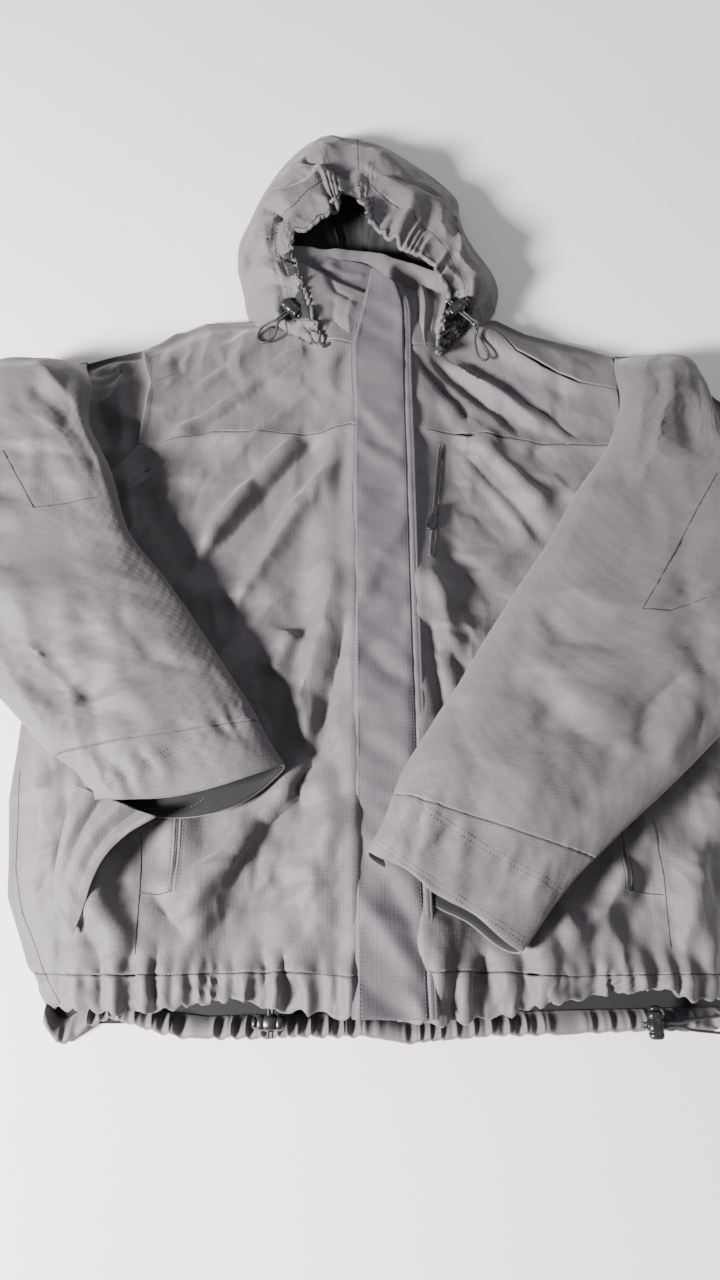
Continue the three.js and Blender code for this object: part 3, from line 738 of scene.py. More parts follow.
rows = []
BANDS = {}
x = spread(-288, 338)
hem_row = np.stack([x, np.interp(x, HEM[:, 0], HEM[:, 1])], -1)
x = spread(xL(-10), xR(-10))
case_row = np.stack([x, np.full(NU, -9.0) + 2 * smooth_noise(x, x * 0, 60, 5)], -1)
for k in np.linspace(0, 1, 7)[:-1]:
    rows.append(hem_row * (1 - k) + case_row * k)
BANDS["case"] = len(rows)
x_yoke = spread(-237, 279)
yoke_row = np.stack([x_yoke, np.interp(x_yoke, YOKE[:, 0], YOKE[:, 1])], -1)
N_BODY = 112
for k in np.linspace(0, 1, N_BODY + 1)[:-1]:
    yb = -9 + k * 533
    x = spread(xL(yb), xR(yb))
    y0 = np.interp(x, case_row[:, 0], case_row[:, 1])
    yt = np.interp(x, yoke_row[:, 0], yoke_row[:, 1])
    y0, yt = case_row[:, 1], yoke_row[:, 1]
    rows.append(np.stack([x, y0 * (1 - k) + yt * k], -1))
BANDS["yoke"] = len(rows)
UN = 0.215
dl = polyline([(-229, 599), (-176, 632), (-123, 669), (-105, 677)], np.clip(u / UN, 0, 1))
dn = polyline([(-105, 677), (-67, 667), (-38, 650), (-4, 643), (25, 641)], np.clip((u - UN) / (0.5 - UN), 0, 1))
dm = polyline([(25, 641), (58, 641), (89, 646), (117, 672), (146, 674)], np.clip((u - 0.5) / (0.5 - UN), 0, 1))
dr = polyline([(146, 674), (158, 660), (172, 640), (202, 619), (238, 599), (280, 590)], np.clip((u - 1 + UN) / UN, 0, 1))
sh_row = np.where((u < UN)[:, None], dl, np.where((u < 0.5)[:, None], dn, np.where((u < 1 - UN)[:, None], dm, dr)))
for k in np.linspace(0, 1, 23)[:-1]:
    rows.append(yoke_row * (1 - k) + sh_row * k)
BANDS["shoulder"] = len(rows)
tl = polyline([(-250, 668), (-214, 692), (-180, 704), (-121, 702)], np.clip(u / UN, 0, 1))
tm = polyline([(-121, 702), (25, 712), (158, 704)], np.clip((u - UN) / (1 - 2 * UN), 0, 1))
tr = polyline([(158, 704), (189, 687), (236, 675), (287, 660)], np.clip((u - 1 + UN) / UN, 0, 1))
top_row = np.where((u < UN)[:, None], tl, np.where((u < 1 - UN)[:, None], tm, tr))
for k in np.linspace(0, 1, 13):
    rows.append(sh_row * (1 - k) + top_row * k)
XY = np.array(rows)
T0 = np.zeros(XY.shape[:2] + (3,))
T0[..., :2] = XY
tx, ty = XY[..., 0], XY[..., 1]


def body_relief(x, y):
    """Folds and soft rumples of the front, in mm above the body."""
    z = np.zeros(np.shape(x))
    # wearer's right side
    z += fold(x, y, [(-50, 652), (-110, 607), (-169, 557), (-222, 528)], 6, 15)
    z -= fold(x, y, [(-60, 640), (-120, 588), (-185, 534)], 4, 9)
    z -= fold(x, y, [(-40, 540), (-75, 500), (-111, 456), (-145, 407), (-178, 362)], 8, 13, 0.4)
    z += fold(x, y, [(-66, 540), (-100, 500), (-132, 450), (-168, 400)], 5.5, 15)
    z += fold(x, y, [(-28, 505), (-70, 440), (-110, 372), (-132, 330)], 5, 17)
    z -= fold(x, y, [(-232, 485), (-205, 425), (-171, 368)], 7, 20)
    z += fold(x, y, [(-20, 392), (-38, 318), (-60, 248), (-40, 170)], 7, 16, 0.3)
    z -= fold(x, y, [(-12, 330), (-26, 262), (-46, 190), (-60, 120)], 6, 10)
    z += fold(x, y, [(-66, 318), (-88, 268)], 5, 14)
    z -= fold(x, y, [(-16, 214), (-60, 150), (-100, 108), (-128, 52)], 6, 12, 0.3)
    z += fold(x, y, [(-14, 150), (-52, 92), (-66, 30), (-62, -10)], 4, 22)
    z += fold(x, y, [(-90, 128), (-134, 84), (-176, 40)], 5, 18)
    z -= fold(x, y, [(-212, 120), (-196, 62), (-150, 18)], 5, 16)
    z += fold(x, y, [(-236, 108), (-240, 50), (-206, 6)], 4, 18)
    z -= fold(x, y, [(-276, 130), (-282, 60), (-258, 0)], 4, 16)
    # wearer's left side
    z -= fold(x, y, [(58, 634), (84, 598), (120, 548)], 5, 7, 0.4)
    z -= fold(x, y, [(72, 638), (118, 590), (176, 536)], 5, 8, 0.4)
    z += fold(x, y, [(90, 636), (150, 588), (205, 540)], 5, 10)
    z -= fold(x, y, [(108, 642), (150, 604), (198, 566), (243, 526)], 4.5, 9, 0.4)
    z -= fold(x, y, [(98, 533), (132, 494), (167, 452), (200, 406)], 5.5, 12, 0.3)
    z += fold(x, y, [(120, 534), (160, 492), (196, 440)], 4.5, 14)
    z -= fold(x, y, [(180, 527), (230, 470)], 5, 12)
    z += fold(x, y, [(70, 384), (84, 330), (98, 286)], 4, 12)
    z -= fold(x, y, [(66, 330), (74, 262), (80, 214)], 4, 9)
    z += fold(x, y, [(196, 46), (150, 4)], 4, 14)
    z -= fold(x, y, [(116, 10), (104, -20)], 4, 8)
    z += fold(x, y, [(252, 98), (226, 48), (176, 16)], 5, 16)
    z -= fold(x, y, [(276, 120), (266, 60), (232, 18)], 4, 14)
    z += fold(x, y, [(310, 110), (306, 50), (290, 10)], 4, 16)
    # soft rumples everywhere, quieter near the closure
    calm = np.clip(np.abs(x - 28) / 60, 0.15, 1)
    side = np.clip((x - 5) / 40, 0, 1)
    z += calm * (2.6 * ridge_noise(x, y, 84, 3, (2.0, 1), 0.78) * (1 - side) + 2.4 * ridge_noise(x, y, 80, 8, (2.0, 1), -0.93) * side
                 + 0.9 * smooth_noise(x, y, 30, 4, (1, 1.8), -0.4))
    low = np.clip((110 - y) / 150, 0, 1)
    z += calm * low * (2.2 * ridge_noise(x, y, 58, 6, (1.5, 1), 0.5) + 0.6 * ridge_noise(x, y, 26, 7, (1, 1.6), -0.3))
    return z


def hem_gather(x, y):
    """Gathers that rise from the elastic hem."""
    up = np.clip(y + 9, 0, 400)
    ph = x / 27 * 2 * np.pi + 7.0 * smooth_noise(x, y * 0, 52, 21) + 0.8 * smooth_noise(x, y, 30, 22)
    g = np.sin(ph) * (0.5 + 0.7 * smooth_noise(x, y * 0, 70, 23))
    ph2 = x / 15 * 2 * np.pi + 2.2 * smooth_noise(x, y * 0, 30, 24) + 0.2 * smooth_noise(x, y, 14, 27)
    h = np.sin(ph2) * (0.55 + 0.6 * smooth_noise(x, y * 0, 44, 25))
    line = 1 - 0.4 * np.exp(-((y + 9) / 3.5) ** 2)
    return line * (np.exp(-(up / 17) ** 1.2) * 4.6 * g + np.exp(-(up / 9) ** 1.2) * 2.5 * h)


away = np.clip(np.abs(tx - 30) / 45, 0, 1)
edge = np.clip(edge_distance(tx, ty) / 40, 0.1, 1)
S0 = front(tx, ty)
T0[..., 2] = S0 + 1.55 * body_relief(tx, ty) * edge + hem_gather(tx, ty) * away * edge
swell = lambda a, b, x: np.clip((x - a) / (b - a), 0, 1) ** 2 * (3 - 2 * np.clip((x - a) / (b - a), 0, 1))
T0[..., 2] += 11.0 * swell(-64, -26, tx) * (1 - swell(-5, 9, tx)) * edge
T0[..., 2] += 12.5 * swell(42, 57, tx) * (1 - swell(68, 112, tx)) * edge
drop = np.clip((-9 - ty) / 32, 0, 1) * away
T0[..., 1] += drop * 2.6 * np.sin(tx / 19 * 2 * np.pi + 4 * smooth_noise(tx, ty * 0, 44, 26))
hemdrop = np.clip((-9 - ty) / 32, 0, 1)
T0[..., 2] -= 9 * hemdrop ** 1.6 * away
L = edges_of(T0, False)
Lr = {k: v.copy() for k, v in L.items()}
# spare cloth: a little everywhere, more above the gathered hem
sp_u = 1.008 + 0.035 * np.exp(-np.clip(ty + 20, 0, 400) / 22)
sp_v = np.full(ty.shape, 1.01)
Lr["h"] *= (sp_u[:, 1:] + sp_u[:, :-1]) / 2
Lr["h2"] *= (sp_u[:, 2:] + sp_u[:, :-2]) / 2
Lr["v"] *= (sp_v[1:] + sp_v[:-1]) / 2
Lr["v2"] *= (sp_v[2:] + sp_v[:-2]) / 2
Lr["d1"] *= (sp_u[1:, 1:] + 1.01) / 2
Lr["d2"] *= (sp_u[1:, :-1] + 1.01) / 2
pin = np.zeros(ty.shape, bool)
pin[:, [0, -1]] = True
pin[[0, -1]] = True
pin[:, MID - 4:MID + 5] = True
hold = np.full(ty.shape, 0.006)
for r in (BANDS["case"], BANDS["yoke"], BANDS["shoulder"]):
    hold[r] = 0.3
MAPZ = BODY_MAP
T1 = relax(T0, Lr, 90, pin, lambda x, y: lookup(MAPZ, x, y) - 7, gravity=0.05, keep=0.01, hold=hold, bend=0.35)
calm = np.clip(np.abs(tx - 28) / 60, 0.0, 1)
T1[..., 2] += 0.55 * body_relief(tx, ty) * edge * calm * np.clip((ty + 9) / 30, 0, 1) * np.clip(np.minimum(tx - tx[:, :1], tx[:, -1:] - tx) / 14, 0, 1)
T1[..., 2] = np.maximum(T1[..., 2], lookup(MAPZ, T1[..., 0], T1[..., 1]) - 12)
TU = material_coords(T0)


def lift(ob, body):
    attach(ob, body)
    return ob


def block(X, U, r0, r1, c0, c1):
    return X[r0:r1 + 1, c0:c1 + 1], U[r0:r1 + 1, c0:c1 + 1]


def panel(name, X, U, sides, nodes, mats=None, body="body", thick=1.3, flip=False, dense=True, roll=""):
    Y, V = (finer(X), finer(U)) if dense else (X, U)
    if dense:
        yx, yy = Y[..., 0], Y[..., 1]
        rim = np.clip(edge_distance(yx, yy) / 34, 0.1, 1) * np.clip(np.abs(yx - 28) / 70, 0.12, 1) * np.clip(1 - (yy - 640) / 60, 0.45, 1)
        arm = np.minimum(np.abs(yx - xL(yy)), np.abs(yx - xR(yy)))
        for line in ([(91, 527), (69, 392)], [(-170, 63), (-170, 227)], [(245, 63), (245, 227)]):
            rim = rim * np.clip((poly_dist(yx, yy, line)[0] - 6) / 16, 0, 1)
        rim = rim * np.where(yy > 430, np.clip(arm / 18, 0, 1), 1) * np.clip((yy + 30) / 40, 0.3, 1)
        pucker = 2.6 * facet(yx, yy, 10, 28, (0.75, 3.4), 0.0, 0.5) * np.exp(-np.clip(yy + 9, 0, 400) / 9) * np.where(yy < 40, 1, 0)
        Y = Y + grid_normals(Y) * (pucker * np.clip(np.abs(yx - 28) / 50, 0, 1))[..., None]
        Y = creased(crumpled(Y, False, 0.5), False, 1.1, mask=rim, way=0.9 if yx.mean() < 28 else -0.9)
    Y, V = hemmed(Y, V, sides)
    if roll:
        Y, V = rolled(Y, V, roll)
    ob = cloth_object(name, Y, V, mats or [SHELL, LINING], thick, flip=flip)
    if nodes:
        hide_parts(*nodes)
    if body:
        lift(ob, body)
    return ob


b1, b2, b3, last_row = BANDS["case"], BANDS["yoke"], BANDS["shoulder"], XY.shape[0] - 1
ZL, ZR = MID - 2, MID + 2
made = {}
for side, c0, c1, zs in (("r", 0, ZL, "r"), ("l", ZR, NU - 1, "l")):
    made["hem_" + side] = panel("front_hem_" + side, *block(T1, TU, 0, b1, c0, c1), "t", ["hem_band_" + side], roll="b")
    made["front_" + side] = panel("front_body_" + side, *block(T1, TU, b1, b2, c0, c1), "bt", ["front_panel_" + side])
    made["yoke_" + side] = panel("front_yoke_" + side, *block(T1, TU, b2, b3, c0, c1), "bt" + ("l" if side == "r" else "r"), ["yoke_" + side])
    made["shoulder_" + side] = panel("front_shoulder_" + side, *block(T1, TU, b3, last_row, c0, c1), "b" + ("l" if side == "r" else "r"), ["shoulder_" + side])

# ------------------------------------------------------------------ pocket bags, inside the jacket
def bag(name, x0, x1, y0, y1, z, nodes, seed):
    xs, ys = np.linspace(x0, x1, 30), np.linspace(y0, y1, 34)
    X = np.zeros((34, 30, 3))
    X[..., 0], X[..., 1] = np.meshgrid(xs, ys)
    X[..., 2] = z + 0.8 * smooth_noise(X[..., 0], X[..., 1], 30, seed)
    ob = cloth_object(name, X, material_coords(X), [LINING, LINING], 1.2)
    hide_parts(*nodes)
    return lift(ob, "body")


bag("chest_pocket_bag", 92, 214, 386, 524, 28, ["chest_pocket"], 31)
bag("hand_pocket_bag_r", -160, -38, 20, 226, 28, ["hand_pocket_r"], 32)
bag("hand_pocket_bag_l", 113, 235, 20, 226, 28, ["hand_pocket_l"], 33)


# ------------------------------------------------------------------ sleeve heads
def sleeve_head(name, side, seed):
    n_v, n_u = 49, 41
    v = np.linspace(0, 1, n_v)
    if side == "r":
        arm = polyline([(xL(y), y) for y in np.linspace(436, 668, 40)], v)
        out = spline([(-440, 424), (-463, 482), (-447, 560), (-402, 618), (-372, 640), (-312, 648), (-280, 660)], v)
        a, b = out, arm
    else:
        arm = polyline([(xR(y), y) for y in np.linspace(436, 660, 40)], v)
        out = spline([(440, 424), (455, 482), (441, 550), (404, 604), (372, 634), (335, 652), (305, 660)], v)
        a, b = arm, out
    k = np.linspace(0, 1, n_u)[None, :, None]
    G = a[:, None] * (1 - k) + b[:, None] * k
    X = np.zeros(G.shape[:2] + (3,))
    X[..., :2] = G
    x, y = X[..., 0], X[..., 1]
    rim = np.clip(edge_distance(x, y) / 30, 0.05, 1)
    z = front(x, y)
    if side == "r":
        z = z + rim * (fold(x, y, [(-318, 652), (-296, 610), (-286, 570), (-262, 512)], -15, 15, 0.3)
                       + fold(x, y, [(-268, 648), (-266, 590), (-254, 545)], 7, 12)
                       - fold(x, y, [(-250, 560), (-240, 525), (-246, 490)], 8, 10)
                       + fold(x, y, [(-340, 640), (-345, 580), (-330, 520)], 8, 18))
    else:
        z = z + rim * (fold(x, y, [(300, 655), (292, 610), (286, 560)], -8, 10, 0.3)
                       + fold(x, y, [(330, 650), (320, 600), (312, 550)], 7, 16))
    z = z + rim * (2.5 * smooth_noise(x, y, 40, seed) + 1.4 * smooth_noise(x, y, 20, seed + 1))
    X[..., 2] = z
    arm_col = -1 if side == "r" else 0
    X[:, arm_col, 2] = lookup(BODY_MAP, X[:, arm_col, 0], X[:, arm_col, 1])
    pin = np.zeros(x.shape, bool)
    pin[:, [0, -1]] = True
    pin[[0, -1]] = True
    L = edges_of(X, False)
    for key in L:
        L[key] = L[key] * 1.012
    X = relax(X, L, 60, pin, lambda a, b: lookup(BODY_MAP, a, b) - 8, gravity=0.05, keep=0.02, bend=0.35, stiff=3)
    return panel(name, X, material_coords(X), "r" if side == "r" else "l", ["sleeve_head_" + side])


sleeve_head("sleeve_head_shell_r", "r", 41)
sleeve_head("sleeve_head_shell_l", "l", 51)


# ------------------------------------------------------------------ folded sleeves
def tube_grid(stations, rows, around):
    """stations: outer x, y, inner x, y, underside z, thickness."""
    st = np.array(stations, float)
    mid = (st[:, :2] + st[:, 2:4]) / 2
    seg = np.concatenate([[0], np.cumsum(np.linalg.norm(np.diff(mid, axis=0), axis=1))])
    s = seg / seg[-1]
    share = np.linspace(0, 1, rows)
    m = np.gradient(st, s, axis=0)
    k = np.clip(np.searchsorted(s, share, side="right") - 1, 0, len(s) - 2)
    h = s[k + 1] - s[k]
    t = ((share - s[k]) / h)[:, None]
    h = h[:, None]
    P = ((2 * t**3 - 3 * t**2 + 1) * st[k] + (t**3 - 2 * t**2 + t) * h * m[k]
         + (-2 * t**3 + 3 * t**2) * st[k + 1] + (t**3 - t**2) * h * m[k + 1])
    ang = 2 * np.pi * (np.arange(around) + 0.5) / around
    c, sn = np.cos(ang), np.sin(ang)
    cu = np.sign(c) * np.abs(c) ** 0.8
    su = np.where(sn > 0, np.abs(sn) ** 0.85, -np.abs(sn) ** 0.6)
    X = np.zeros((rows, around, 3))
    a, b = P[:, None, :2], P[:, None, 2:4]
    X[..., :2] = (a + b) / 2 + (b - a) / 2 * cu[None, :, None]
    X[..., 2] = P[:, 4:5] + P[:, 5:6] * 0.5 * (1 + su[None])
    return X, cu, su


def sleeve(stations, cuff_rows, rows, around, relief, end_shape, spare):
    X, cu, su = tube_grid(stations, rows, around)
    if grid_normals(X, True)[rows // 2, around // 4, 2] < 0:
        X, cu, su = X[:, ::-1].copy(), cu[::-1].copy(), su[::-1].copy()
    U = material_coords(X)
    w = np.clip((np.arange(rows) - (rows - cuff_rows)) / (cuff_rows - 1), 0, 1)
    end_shape(X, w, cu, su)
    top = np.clip(su, 0, 1)[None, :] ** 0.5
    fade = np.clip(np.minimum(np.arange(rows) / 8, (rows - 1 - np.arange(rows)) / 4), 0, 1)[:, None]
    X[..., 2] += 0.6 * relief(X[..., 0], X[..., 1]) * top * fade
    body = lambda x, y: np.maximum(lookup(BODY_MAP, x, y), 0) + 3.5
    L = edges_of(X, True)
    L["v"] = L["v"] * spare
    L["v2"] = L["v2"] * spare
    L["h"] = L["h"] * 1.006
    L["d1"] = L["d1"] * (1 + (spare - 1) * 0.6)
    L["d2"] = L["d2"] * (1 + (spare - 1) * 0.6)
    pin = np.zeros(X.shape[:2], bool)
    pin[0] = True
    hold = np.full(X.shape[:2], 0.012)
    hold[-1] = 0.25
    hold[rows - cuff_rows] = 0.12
    X = relax(X, L, 100, pin, body, gravity=0.035, pressure=0.05, wrap=True, keep=0.03, hold=hold, bend=0.4, shear=0.5, stiff=3)
    n = grid_normals(X, True)
    k = np.clip(n[..., 2] * 1.4, 0, 1) * fade
    X = X + n * (relief(X[..., 0], X[..., 1]) * 0.1 * k)[..., None]
    X[..., 2] = np.minimum(X[..., 2], 104)
    return X, U


def bend_sleeve(ob, side):
    if side == "r":
        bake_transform(ob)
    else:
        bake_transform(ob)


CUFF_SEAM_R = [(-240, 150), (-189, 175), (-159, 191), (-130, 202), (-98, 226)]
CUFF_SEAM_L = [(36, 142), (73, 120), (112, 96), (159, 70), (178, 58)]


def relief_r(x, y):
    z = fold(x, y, [(-366, 612), (-330, 585), (-296, 552), (-272, 498), (-246, 431)], 7, 10, 0.4)
    z += fold(x, y, [(-345, 545), (-302, 512), (-262, 450)], 7, 12, 0.3)
    z -= fold(x, y, [(-352, 575), (-312, 545), (-280, 500), (-256, 450)], 7, 8)
    z -= fold(x, y, [(-410, 560), (-380, 500), (-350, 450)], 7, 14)
    z += fold(x, y, [(-430, 500), (-390, 440), (-330, 410)], 7, 16, 0.3)
    z -= fold(x, y, [(-400, 470), (-372, 448), (-330, 436)], 9, 9, 0.3)
    z -= fold(x, y, [(-410, 420), (-380, 398), (-340, 402)], 8, 10)
    z -= fold(x, y, [(-400, 380), (-330, 362), (-262, 392)], 7, 12, 0.3)
    z += fold(x, y, [(-390, 345), (-320, 335), (-240, 355)], 6, 16)
    z += fold(x, y, [(-340, 290), (-260, 262), (-190, 290)], 6, 14, 0.3)
    z -= fold(x, y, [(-302, 292), (-262, 248), (-252, 222)], 8, 9, 0.3)
    z -= fold(x, y, [(-330, 262), (-290, 238), (-270, 216)], 5, 10)
    z -= fold(x, y, [(-240, 320), (-190, 268), (-150, 258)], 5, 10)
    z += fold(x, y, [(-232, 236), (-196, 216), (-172, 200)], 5, 7, 0.3)
    z -= fold(x, y, [(-216, 224), (-190, 204)], 5, 5)
    z += 4.2 * ridge_noise(x, y, 74, 61, (1.7, 1), -0.95) + 1.6 * ridge_noise(x, y, 40, 62, (1, 1.6), 0.5)
    near = np.exp(-np.abs(poly_dist(x, y, CUFF_SEAM_R)[0]) / 20)
    return z + near * 3.2 * ridge_noise(x, y, 15, 63, (1, 2.6), 0.5)


def relief_l(x, y):
    z = fold(x, y, [(330, 600), (322, 560), (300, 500), (270, 440)], 6, 12, 0.3)
    z -= fold(x, y, [(352, 590), (346, 540), (330, 490)], 6, 12)
    z += fold(x, y, [(240, 470), (205, 400), (190, 360)], 5, 10)
    z -= fold(x, y, [(330, 352), (296, 322), (300, 270)], 8, 11, 0.4)
    z -= fold(x, y, [(168, 330), (190, 290), (230, 280), (262, 292)], 8, 10, 0.4)
    z += fold(x, y, [(190, 345), (245, 318), (300, 322)], 8, 16, 0.3)
    z -= fold(x, y, [(130, 270), (160, 238), (210, 190), (244, 176)], 6, 14)
    z += fold(x, y, [(150, 288), (200, 232), (240, 206)], 7, 16, 0.3)
    z -= fold(x, y, [(300, 262), (262, 222), (252, 180)], 9, 10, 0.3)
    z += fold(x, y, [(330, 260), (300, 210), (268, 166)], 8, 13)
    z -= fold(x, y, [(90, 240), (92, 190), (110, 160)], 6, 12)
    z -= fold(x, y, [(232, 196), (216, 150), (190, 130)], 6, 12)
    z += 4.2 * ridge_noise(x, y, 78, 71, (1.7, 1), 0.86) + 1.6 * ridge_noise(x, y, 42, 72, (1, 1.6), -0.5)
    near = np.exp(-np.abs(poly_dist(x, y, CUFF_SEAM_L)[0]) / 22)
    return z + near * 3.8 * ridge_noise(x, y, 15, 73, (1, 2.8), -0.3)


ST_R = [(-366, 645, -310, 648, 5, 6), (-384, 632, -306, 628, 16, 26), (-420, 588, -290, 590, 40, 46), (-447, 530, -285, 541, 46, 49),
        (-461, 465, -257, 481, 47, 50), (-457, 400, -232, 412, 47, 50), (-436, 340, -191, 359, 47, 49),
        (-385, 283, -150, 300, 47, 47), (-337, 235, -118, 252, 47, 45), (-292, 190, -98, 222, 47, 41),
        (-262, 166, -86, 199, 48, 36), (-246, 142, -70, 176, 50, 30)]
ST_L = [(344, 652, 292, 656, 5, 6), (356, 636, 284, 628, 22, 24), (366, 592, 279, 574, 41, 43), (380, 522, 256, 506, 46, 48),
        (414, 452, 219, 452, 47, 50), (440, 385, 186, 396, 47, 51), (433, 318, 150, 343, 47, 50),
        (392, 256, 119, 294, 47, 48), (340, 206, 92, 250, 47, 47), (285, 155, 66, 211, 48, 46),
        (226, 104, 38, 164, 52, 42), (186, 66, 22, 124, 56, 34), (142, 11, 8, 98, 58, 27)]


def end_r(X, w, cu, su):
    bow = np.cos(np.clip(cu, -1, 1) * np.pi / 2) ** 0.8
    low = np.clip(-su, 0, 1)
    up = np.clip(su, 0, 1)
    shift = w[:, None] ** 1.3 * (13 * bow * up + 30 * low * (0.15 + 0.85 * bow))[None]
    X[..., 0] += 0.45 * shift
    X[..., 1] -= 0.89 * shift
    X[..., 2] += (w[:, None] ** 2) * (-3 * low + 2.4 * up * np.sin(cu * 5))[None]


def end_l(X, w, cu, su):
    low, up = np.clip(-su, 0, 1), np.clip(su, 0, 1)
    shift = w[:, None] ** 1.5 * (7 * low + 2 * np.sin(cu * 7 + 1))[None]
    X[..., 0] -= 0.55 * shift
    X[..., 1] -= 0.83 * shift
    X[..., 2] += (w[:, None] ** 2) * (-4 * low + 2 * up * np.sin(cu * 6))[None]


ROWS = 100
XR_, UR_ = sleeve(ST_R, 10, ROWS, 76, relief_r, end_r, 1.03)
XL_, UL_ = sleeve(ST_L, 13, ROWS + 6, 76, relief_l, end_l, 1.03)


def sleeve_pieces(side, X, U, cuff_rows):
    k = X.shape[0] - cuff_rows
    Y = cubic_double(cubic_double(X, 0), 1, True)
    V = cubic_double(U, 0)
    V2 = np.empty((V.shape[0], X.shape[1] * 2, 2))
    V2[:, 0::2] = V
    V2[:, 1::2] = V + np.concatenate([np.diff(V, axis=1), (V[:, -1:] - V[:, -2:-1])], 1) / 2
    k2 = 2 * k
    n = grid_normals(Y, True)
    x, y = Y[..., 0], Y[..., 1]
    # small creases that cross the cuff seam
    seam = CUFF_SEAM_R if side == "r" else CUFF_SEAM_L
    d, along, _ = poly_dist(x, y, seam)
    pucker = np.exp(-(d / 20) ** 1.5) * 3.2 * facet(x, y, 10, 77, (1, 3.0), 0.49 if side == "r" else -0.53)
    Y = crumpled(Y + n * (pucker * np.clip(n[..., 2] * 2, 0, 1))[..., None], True, 0.6)
    turn = np.sin(2 * np.pi * (np.arange(Y.shape[1]) / 2 + 0.5) / (Y.shape[1] / 2))
    turn = np.clip(turn * np.sign((n[..., 2].mean(0) * turn).sum()), 0, 1) ** 1.6
    begin = np.clip(np.arange(Y.shape[0]) / 26, 0, 1)[:, None] * turn[None]
    Y = creased(Y, True, 1.0, (11.0, 88), begin, way=-0.7 if side == "r" else 0.75)
    Y[..., 2] = np.minimum(Y[..., 2], 106)
    # a close pair of rows and a sunk one make the seam where the cuff is sewn on
    d = (Y[k2 + 1] - Y[k2]) * 0.35
    n = grid_normals(Y, True)
    sunk = Y[k2] - n[k2] * 1.3
    A = np.concatenate([Y[:k2], (Y[k2] - d)[None], sunk[None]])
    B = np.concatenate([sunk[None], (Y[k2] + d)[None], Y[k2 + 1:]])
    UA = np.concatenate([V2[:k2], V2[k2:k2 + 1], V2[k2:k2 + 1]])
    UB = np.concatenate([V2[k2:k2 + 1], V2[k2:k2 + 1], V2[k2 + 1:]])
    up = cloth_object("sleeve_shell_" + side, A, UA, [SHELL, LINING], 1.4, wrap=True)
    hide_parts("sleeve_" + side)
    bend_sleeve(up, side)
    # the hem of the cuff is turned in and shows the lining behind it
    n = grid_normals(B, True)
    inward = [B[-1] - n[-1] * 2.2, B[-2] - n[-2] * 3.6, B[-5] - n[-5] * 4.0, B[-10] - n[-10] * 4.2]
    C = np.concatenate([B, np.array([B[-1] - n[-1] * 0.8 + (B[-1] - B[-2]) * 0.15]), np.array(inward)])
    UC = np.concatenate([UB, UB[-1:], UB[-1:], UB[-2:-1], UB[-5:-4], UB[-10:-9]])
    cf = cloth_object("cuff_shell_" + side, C, UC, [SHELL, LINING], 0.8, wrap=True)
    mark_rows(cf, C, len(B) + 1)
    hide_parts("cuff_" + side)
    bend_sleeve(cf, side)
    return up, cf


def mark_rows(ob, X, first):
    """Faces from a row on take the second material."""
    nu = X.shape[1]
    idx = np.zeros((X.shape[0] - 1, nu), int)
    idx[first:] = 1
    ob.data.polygons.foreach_set("material_index", idx.ravel())


sleeve_pieces("r", XR_, UR_, 10)
sleeve_pieces("l", XL_, UL_, 13)


TAB_L = [(-275, 47), (-278, 69), (-274, 98), (-269, 125), (-262, 156)]
TAB_R = [(-257, 24), (-249, 46), (-242, 68), (-233, 88), (-215, 108), (-184, 126)]


# ------------------------------------------------------------------ cuff tab, hanging from the wearer's right cuff
def strip(left, right, rows, cols, height):
    k = np.linspace(0, 1, rows)
    a, b = spline(left, k), spline(right, k)
    t = np.linspace(0, 1, cols)[None, :, None]
    G = a[:, None] * (1 - t) + b[:, None] * t
    X = np.zeros(G.shape[:2] + (3,))
    X[..., :2] = G[..., :2]
    X[..., 2] = height(G[..., 0], G[..., 1], np.linspace(0, 1, rows)[:, None], np.linspace(0, 1, cols)[None])
    return X


tab = strip(TAB_L, TAB_R, 44, 34,
            lambda x, y, v, t: 50 + 17 * v ** 0.8 + (5.0 * np.abs(np.sin(t * 7.5 + 0.6)) + 1.6 * np.sin(t * 17 - v * 2)) * v ** 2.2
            + 3.0 * facet(x, y, 26, 81, (1, 1.7), 0.25) + 0.9 * facet(x, y, 11, 83, (1, 1.6), -0.4) + 2 * np.sin(np.pi * t) * (1 - v))
tab_ob = cloth_object("cuff_tab_shell_r", finer(tab), finer(material_coords(tab)), [SHELL, SHELL], 2.0)
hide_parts("cuff_tab_r")
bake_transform(tab_ob)

# the other tab, under the wearer's left cuff
tab = strip([(112, 62), (146, 60), (186, 60)], [(112, 94), (146, 96), (186, 94)], 24, 14,
            lambda x, y, v, t: 65 + 0.5 * np.sin(t * 7) + 0.6 * smooth_noise(x, y, 16, 82))
tab_ob = cloth_object("cuff_tab_shell_l", tab, material_coords(tab), [SHELL, SHELL], 2.0, subdiv=1)
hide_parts("cuff_tab_l")
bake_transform(tab_ob)

# ------------------------------------------------------------------ storm flap
EDGE_L = np.array([(-46, -2.5), (0, -3), (238, -4), (420, -5), (599, -6), (643, -5.5), (672, 0), (709, 8), (736, 14)], float)
EDGE_R = np.array([(-46, 60), (63, 57), (278, 52.5), (428, 50.5), (520, 49.5), (600, 48), (682, 48), (695, 46), (718, 39), (726, 26), (737, 15)], float)


